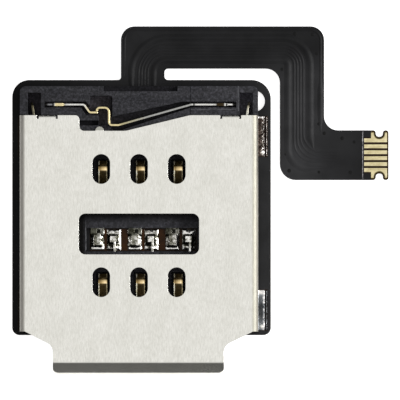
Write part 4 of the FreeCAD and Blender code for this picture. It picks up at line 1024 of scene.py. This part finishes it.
def tail_joint(row, column):
    """The solder of one contact's tail: a lumpy pad that climbs hollow up the metal."""
    node = f"contact_solder_{row}_{column}"
    low, high = plane_limits(node)
    tail_x = COLUMNS[column] * CONTACT_PITCH + TAIL_OFFSETS[row]
    seed = 3.7 * COLUMNS[column] + (1.3 if row == "rear" else 8.9)
    # The right column takes more painted highlight
    right_column_light = 0.7 if column == "right" else 0.0

    def top(x, y):
        distance = min(beyond(x - tail_x, y, metal) for metal in TAIL_METAL[row])
        if distance < 0:
            return skin_top - UNDER_TAIL
        inside = max(min(x - low[0], high[0] - x, y - low[1], high[1] - y), 0.0)
        fade = min(inside / PAD_ROUND, 1.0)
        crown = PAD_CROWN * (1 - math.exp(-inside / PAD_ROUND))
        climb = WET_HEIGHT * math.exp(-distance / WET_SPREAD)
        ripple = 0.030 * waves(x, y, 0.26, seed) + 0.008 * waves(x, y, 0.10, seed)
        if row == "rear":
            climb *= min(max((y - low[1]) / END_SLOPE, 0.0), 1.0)
            ripple += END_LIP * bump_at(y, low[1] + 0.05, 0.08)
        height = COPPER_TOP + crown + fade * (climb + ripple)
        return max(min(height, TAIL_TOP - BELOW_TAIL_TOP), COPPER_TOP + THIN)

    def bottom(x, y):
        return COPPER_TOP

    def shine(x, y):
        # Painted light and shade: the pale bands are painted highlights, the dark lines and the ring painted
        # shade
        aside = x - tail_x
        mottle = 0.52 + 0.9 * waves(x, y, 0.17, seed + 4.0) + 0.5 * waves(x, y, 0.07, seed + 6.0)
        if row == "rear":
            if beyond(aside, y, REAR_PLATE) < 0:
                return 0.0
            end_line = bump_at(y + 0.25 * aside * aside, TAIL_END, 0.045) * (1.0 if aside < 0.12 else 0.2)
            plate_line = bump_at(y, PLATE_LINE, 0.06) * (1.0 if aside < 0.1 else 0.3)
            pale_side = (0.15 + right_column_light) * bump_at(aside, 0.30, 0.10)
            pale_end = 0.70 if y < PALE_BEFORE[row] else 0.0
            return mottle + pale_side + pale_end - 1.3 * end_line - 1.0 * plate_line
        island = beyond(aside, y, TAIL_METAL["front"][0])
        ring = bump_at(island, 0.07, 0.055)
        shade = bump_at(y, FRONT_SHADE_LINE, 0.10) * bump_at(aside, -0.08, 0.26)
        pale_side = 0.10 * bump_at(aside, 0.40, 0.10)
        pale_end = 0.35 if y < PALE_BEFORE[row] else 0.0
        pale_rear = 0.25 + right_column_light if y > PALE_BEHIND else 0.0
        return mottle + pale_side + pale_end + pale_rear - 1.4 * ring - 1.2 * shade

    lump = height_sheet(f"tail_joint_{row}_{column}", low, high, (44, 64), top, bottom, shine, SOLDER)
    carry(lump, "solder", node)


FOOT_EDGE = 8.38
FOOT_TOP = 0.50
FOOT_BEND = 8.11
FOOT_BEND_RADIUS = 0.08
COAT_START = 8.04
COAT_EDGE = 8.50
RIM = 8.615
PAD_EDGE = 8.66
COAT = 0.006
COAT_LIFT = 0.014
COAT_FADE = 0.05
COAT_FALL = 0.10
RIM_LIFT = 0.05
BLOB_LIFT = 0.03
BLOB_X = 8.37
BLOB_INSET = 0.24
BLOB_AREA = 0.020
THREAD_X = 8.38
OUTER_X = 8.41
END_INSET = 0.05


def threads(x, y, seed):
    """Thin threads of painted highlight that wander along the foot."""
    wander = noise.noise(Vector((x / 0.10, y / 0.24, seed)))
    return max(1 - abs(wander) / 0.16, 0.0)


def foot_coat(end):
    """The rough solder over a right foot, down to the pad and its raised rim."""
    node = f"shell_solder_right_{end}"
    low, high = plane_limits(node)
    low = (COAT_START, low[1])
    high = (PAD_EDGE, high[1])
    seed = 2.1 if end == "rear" else 7.4
    rough = 1.0 if end == "rear" else 0.35
    solder = BURNT if end == "rear" else SMEARED
    blob = (BLOB_X, low[1] + BLOB_INSET)

    def bottom(x, y):
        if x < FOOT_BEND:
            fall = math.sqrt(max(FOOT_BEND_RADIUS ** 2 - (FOOT_BEND - x) ** 2, 0.0))
            return FOOT_TOP + FOOT_BEND_RADIUS - fall
        return FOOT_TOP if x <= FOOT_EDGE else COPPER_TOP

    def at_blob(x, y):
        return math.exp(-((x - blob[0]) ** 2 + (y - blob[1]) ** 2) / BLOB_AREA)

    def top(x, y):
        inside = max(min(x - low[0], high[0] - x, y - low[1], high[1] - y), 0.0)
        fade = min(inside / COAT_FADE, 1.0)
        fall = min(max((x - COAT_EDGE + 0.06) / COAT_FALL, 0.0), 1.0)
        fall = fall * fall * (3 - 2 * fall)
        level = max(FOOT_TOP, bottom(x, y)) * (1 - fall) + COPPER_TOP * fall + COAT
        lumps = rough * (0.024 * waves(x, y, 0.13, seed) + 0.012 * waves(x, y, 0.06, seed + 5.0))
        rim = RIM_LIFT * bump_at(x, RIM, 0.022) * (0.8 + 0.3 * waves(x, y, 0.16, seed + 9.0))
        lift = COAT_LIFT + lumps + rim + BLOB_LIFT * at_blob(x, y)
        return max(level + fade * lift, bottom(x, y) + THIN)

    def shine(x, y):
        # Painted light and shade: the rim's streak, the threads, the blob and the bands at the end and the
        # outer edge are painted highlights over flux and painted shade
        if x > COAT_EDGE + 0.02:
            streak = 0.62 + 0.45 * waves(x, y, 0.14, seed + 2.0)
            return (0.4 + 0.8 * rough) * bump_at(x, RIM, 0.026) * streak
        end_light = bump_at(y, high[1] - END_INSET, 0.05)
        if end == "rear":
            stain = 0.10 + 0.25 * waves(x, y, 0.20, seed + 1.0)
            scribble = threads(x, y, seed) * bump_at(x, THREAD_X, 0.15)
            return stain + scribble + 1.2 * at_blob(x, y) + end_light
        outer = bump_at(x, OUTER_X, 0.06) * (0.45 + 0.8 * waves(x, y, 0.16, seed + 1.0))
        inner = 0.34 + 0.16 * math.cos(2.3 * (y - low[1])) + 0.10 * waves(x, y, 0.30, seed + 3.0)
        long_light = 0.9 * bump_at(y, high[1] - END_INSET, 0.18)
        return outer + inner + long_light + 0.5 * at_blob(x, y)

    coat = height_sheet(f"foot_coat_{end}", low, high, (56, 270), top, bottom, shine, solder)
    carry(coat, "solder", node)


dress("reader_stiffener", LAMINATE)
dress("tail_stiffener", LAMINATE)
dress("flex_base", FILM)
dress("flex_coverlay", SKIN)
for number in range(1, 7):
    dress(f"conductor_{number}", GOLD)
for end in ENDS:
    for side in SIDES:
        dress(f"ground_pad_{side}_{end}", GOLD)
    dress(f"shell_solder_left_{end}", SOLDER)
    foot_coat(end)
for row in ENDS:
    for column in COLUMNS:
        eased(f"contact_{row}_{column}", PLATING, "contact_metal")
        tail_joint(row, column)
dress("shell", STEEL)
dress("housing", MOULDING)
for strip in ("detect_fixed_contact", "detect_spring"):
    eased(strip, STRIP, "spring_metal")
for side in SIDES:
    eased(f"latch_spring_{side}", LATCH, "spring_metal")
thin_ridges()
via_dots()


# Studio

def pale_floor():
    """A plain pale floor that keeps the part's shadow and shows white to the eye and in metal."""
    size = 0.5
    mesh = bpy.data.meshes.new("floor")
    level = cad_box[0].z - 0.02 * MM
    corners = [(-size, -size, level), (size, -size, level), (size, size, level), (-size, size, level)]
    mesh.from_pydata(corners, [], [(0, 1, 2, 3)])
    material = bpy.data.materials.new("floor_paper")
    material.use_nodes = True
    tree = material.node_tree
    tree.nodes.clear()
    paper = added(tree, "ShaderNodeBsdfDiffuse", {"Color": (0.70, 0.70, 0.70, 1.0)})
    glow = tree.nodes.new("ShaderNodeEmission")
    light_path = tree.nodes.new("ShaderNodeLightPath")
    seen = maths(tree, "MAXIMUM")
    seen_through = maths(tree, "MAXIMUM")
    strength = maths(tree, "MULTIPLY", 0.80)
    both = tree.nodes.new("ShaderNodeAddShader")
    output = tree.nodes.new("ShaderNodeOutputMaterial")
    tree.links.new(light_path.outputs["Is Camera Ray"], seen.inputs[0])
    tree.links.new(light_path.outputs["Is Glossy Ray"], seen.inputs[1])
    tree.links.new(seen.outputs[0], seen_through.inputs[0])
    tree.links.new(light_path.outputs["Is Transmission Ray"], seen_through.inputs[1])
    tree.links.new(seen_through.outputs[0], strength.inputs[0])
    tree.links.new(strength.outputs[0], glow.inputs["Strength"])
    tree.links.new(paper.outputs[0], both.inputs[0])
    tree.links.new(glow.outputs[0], both.inputs[1])
    tree.links.new(both.outputs[0], output.inputs["Surface"])
    floor = new_piece("floor", mesh, material)


def soft_sky():
    """Even light from above that falls off towards the horizon, and a dark low band behind the reader."""
    world = bpy.data.worlds.new("studio")
    scene.world = world
    world.use_nodes = True
    tree = world.node_tree
    place = tree.nodes.new("ShaderNodeTexCoord")
    split = tree.nodes.new("ShaderNodeSeparateXYZ")
    tree.links.new(place.outputs["Generated"], split.inputs["Vector"])
    height = split.outputs["Z"]
    around = ramp(world, height, [(0.0, 0.40), (0.40, 0.42), (0.60, 0.46), (0.80, 0.90), (1.0, 1.07)])
    behind = ramp(world, height, [
        (0.0, 0.05), (0.22, 0.06), (0.40, 0.36), (0.60, 0.46), (0.80, 0.90), (1.0, 1.07)])
    rear = added(tree, "ShaderNodeMapRange", {"From Min": 0.50, "From Max": 0.80})
    tree.links.new(split.outputs["Y"], rear.inputs["Value"])
    light = blended(world, rear.outputs["Result"], around, behind)
    tree.links.new(light, tree.nodes["Background"].inputs["Color"])


def soft_box(name, place, size, watts):
    """A large soft lamp that faces the part."""
    lamp = bpy.data.lights.new(name, "AREA")
    lamp.shape = "RECTANGLE"
    lamp.size = size[0]
    lamp.size_y = size[1]
    lamp.energy = watts
    holder = bpy.data.objects.new(name, lamp)
    holder.location = place
    holder.rotation_euler = (-Vector(place)).to_track_quat("-Z", "Y").to_euler()
    scene.collection.objects.link(holder)


def overhead_camera():
    """The photograph's view: straight down, from far enough that nothing leans."""
    distance = 0.60
    seen_width = PHOTO_PIXELS / PIXELS_PER_MM * MM
    middle_x, middle_y = from_photo(PHOTO_PIXELS / 2, PHOTO_PIXELS / 2)
    lens = bpy.data.cameras.new("camera")
    lens.sensor_width = 36.0
    lens.lens = lens.sensor_width * distance / seen_width
    lens.clip_start = 0.01
    lens.clip_end = 10.0
    camera = bpy.data.objects.new("camera", lens)
    camera.location = (middle_x, middle_y, distance)
    scene.collection.objects.link(camera)
    scene.camera = camera


pale_floor()
soft_sky()
soft_box("key", place=(0.30, 0.04, 0.26), size=(0.14, 0.22), watts=1.40)
overhead_camera()
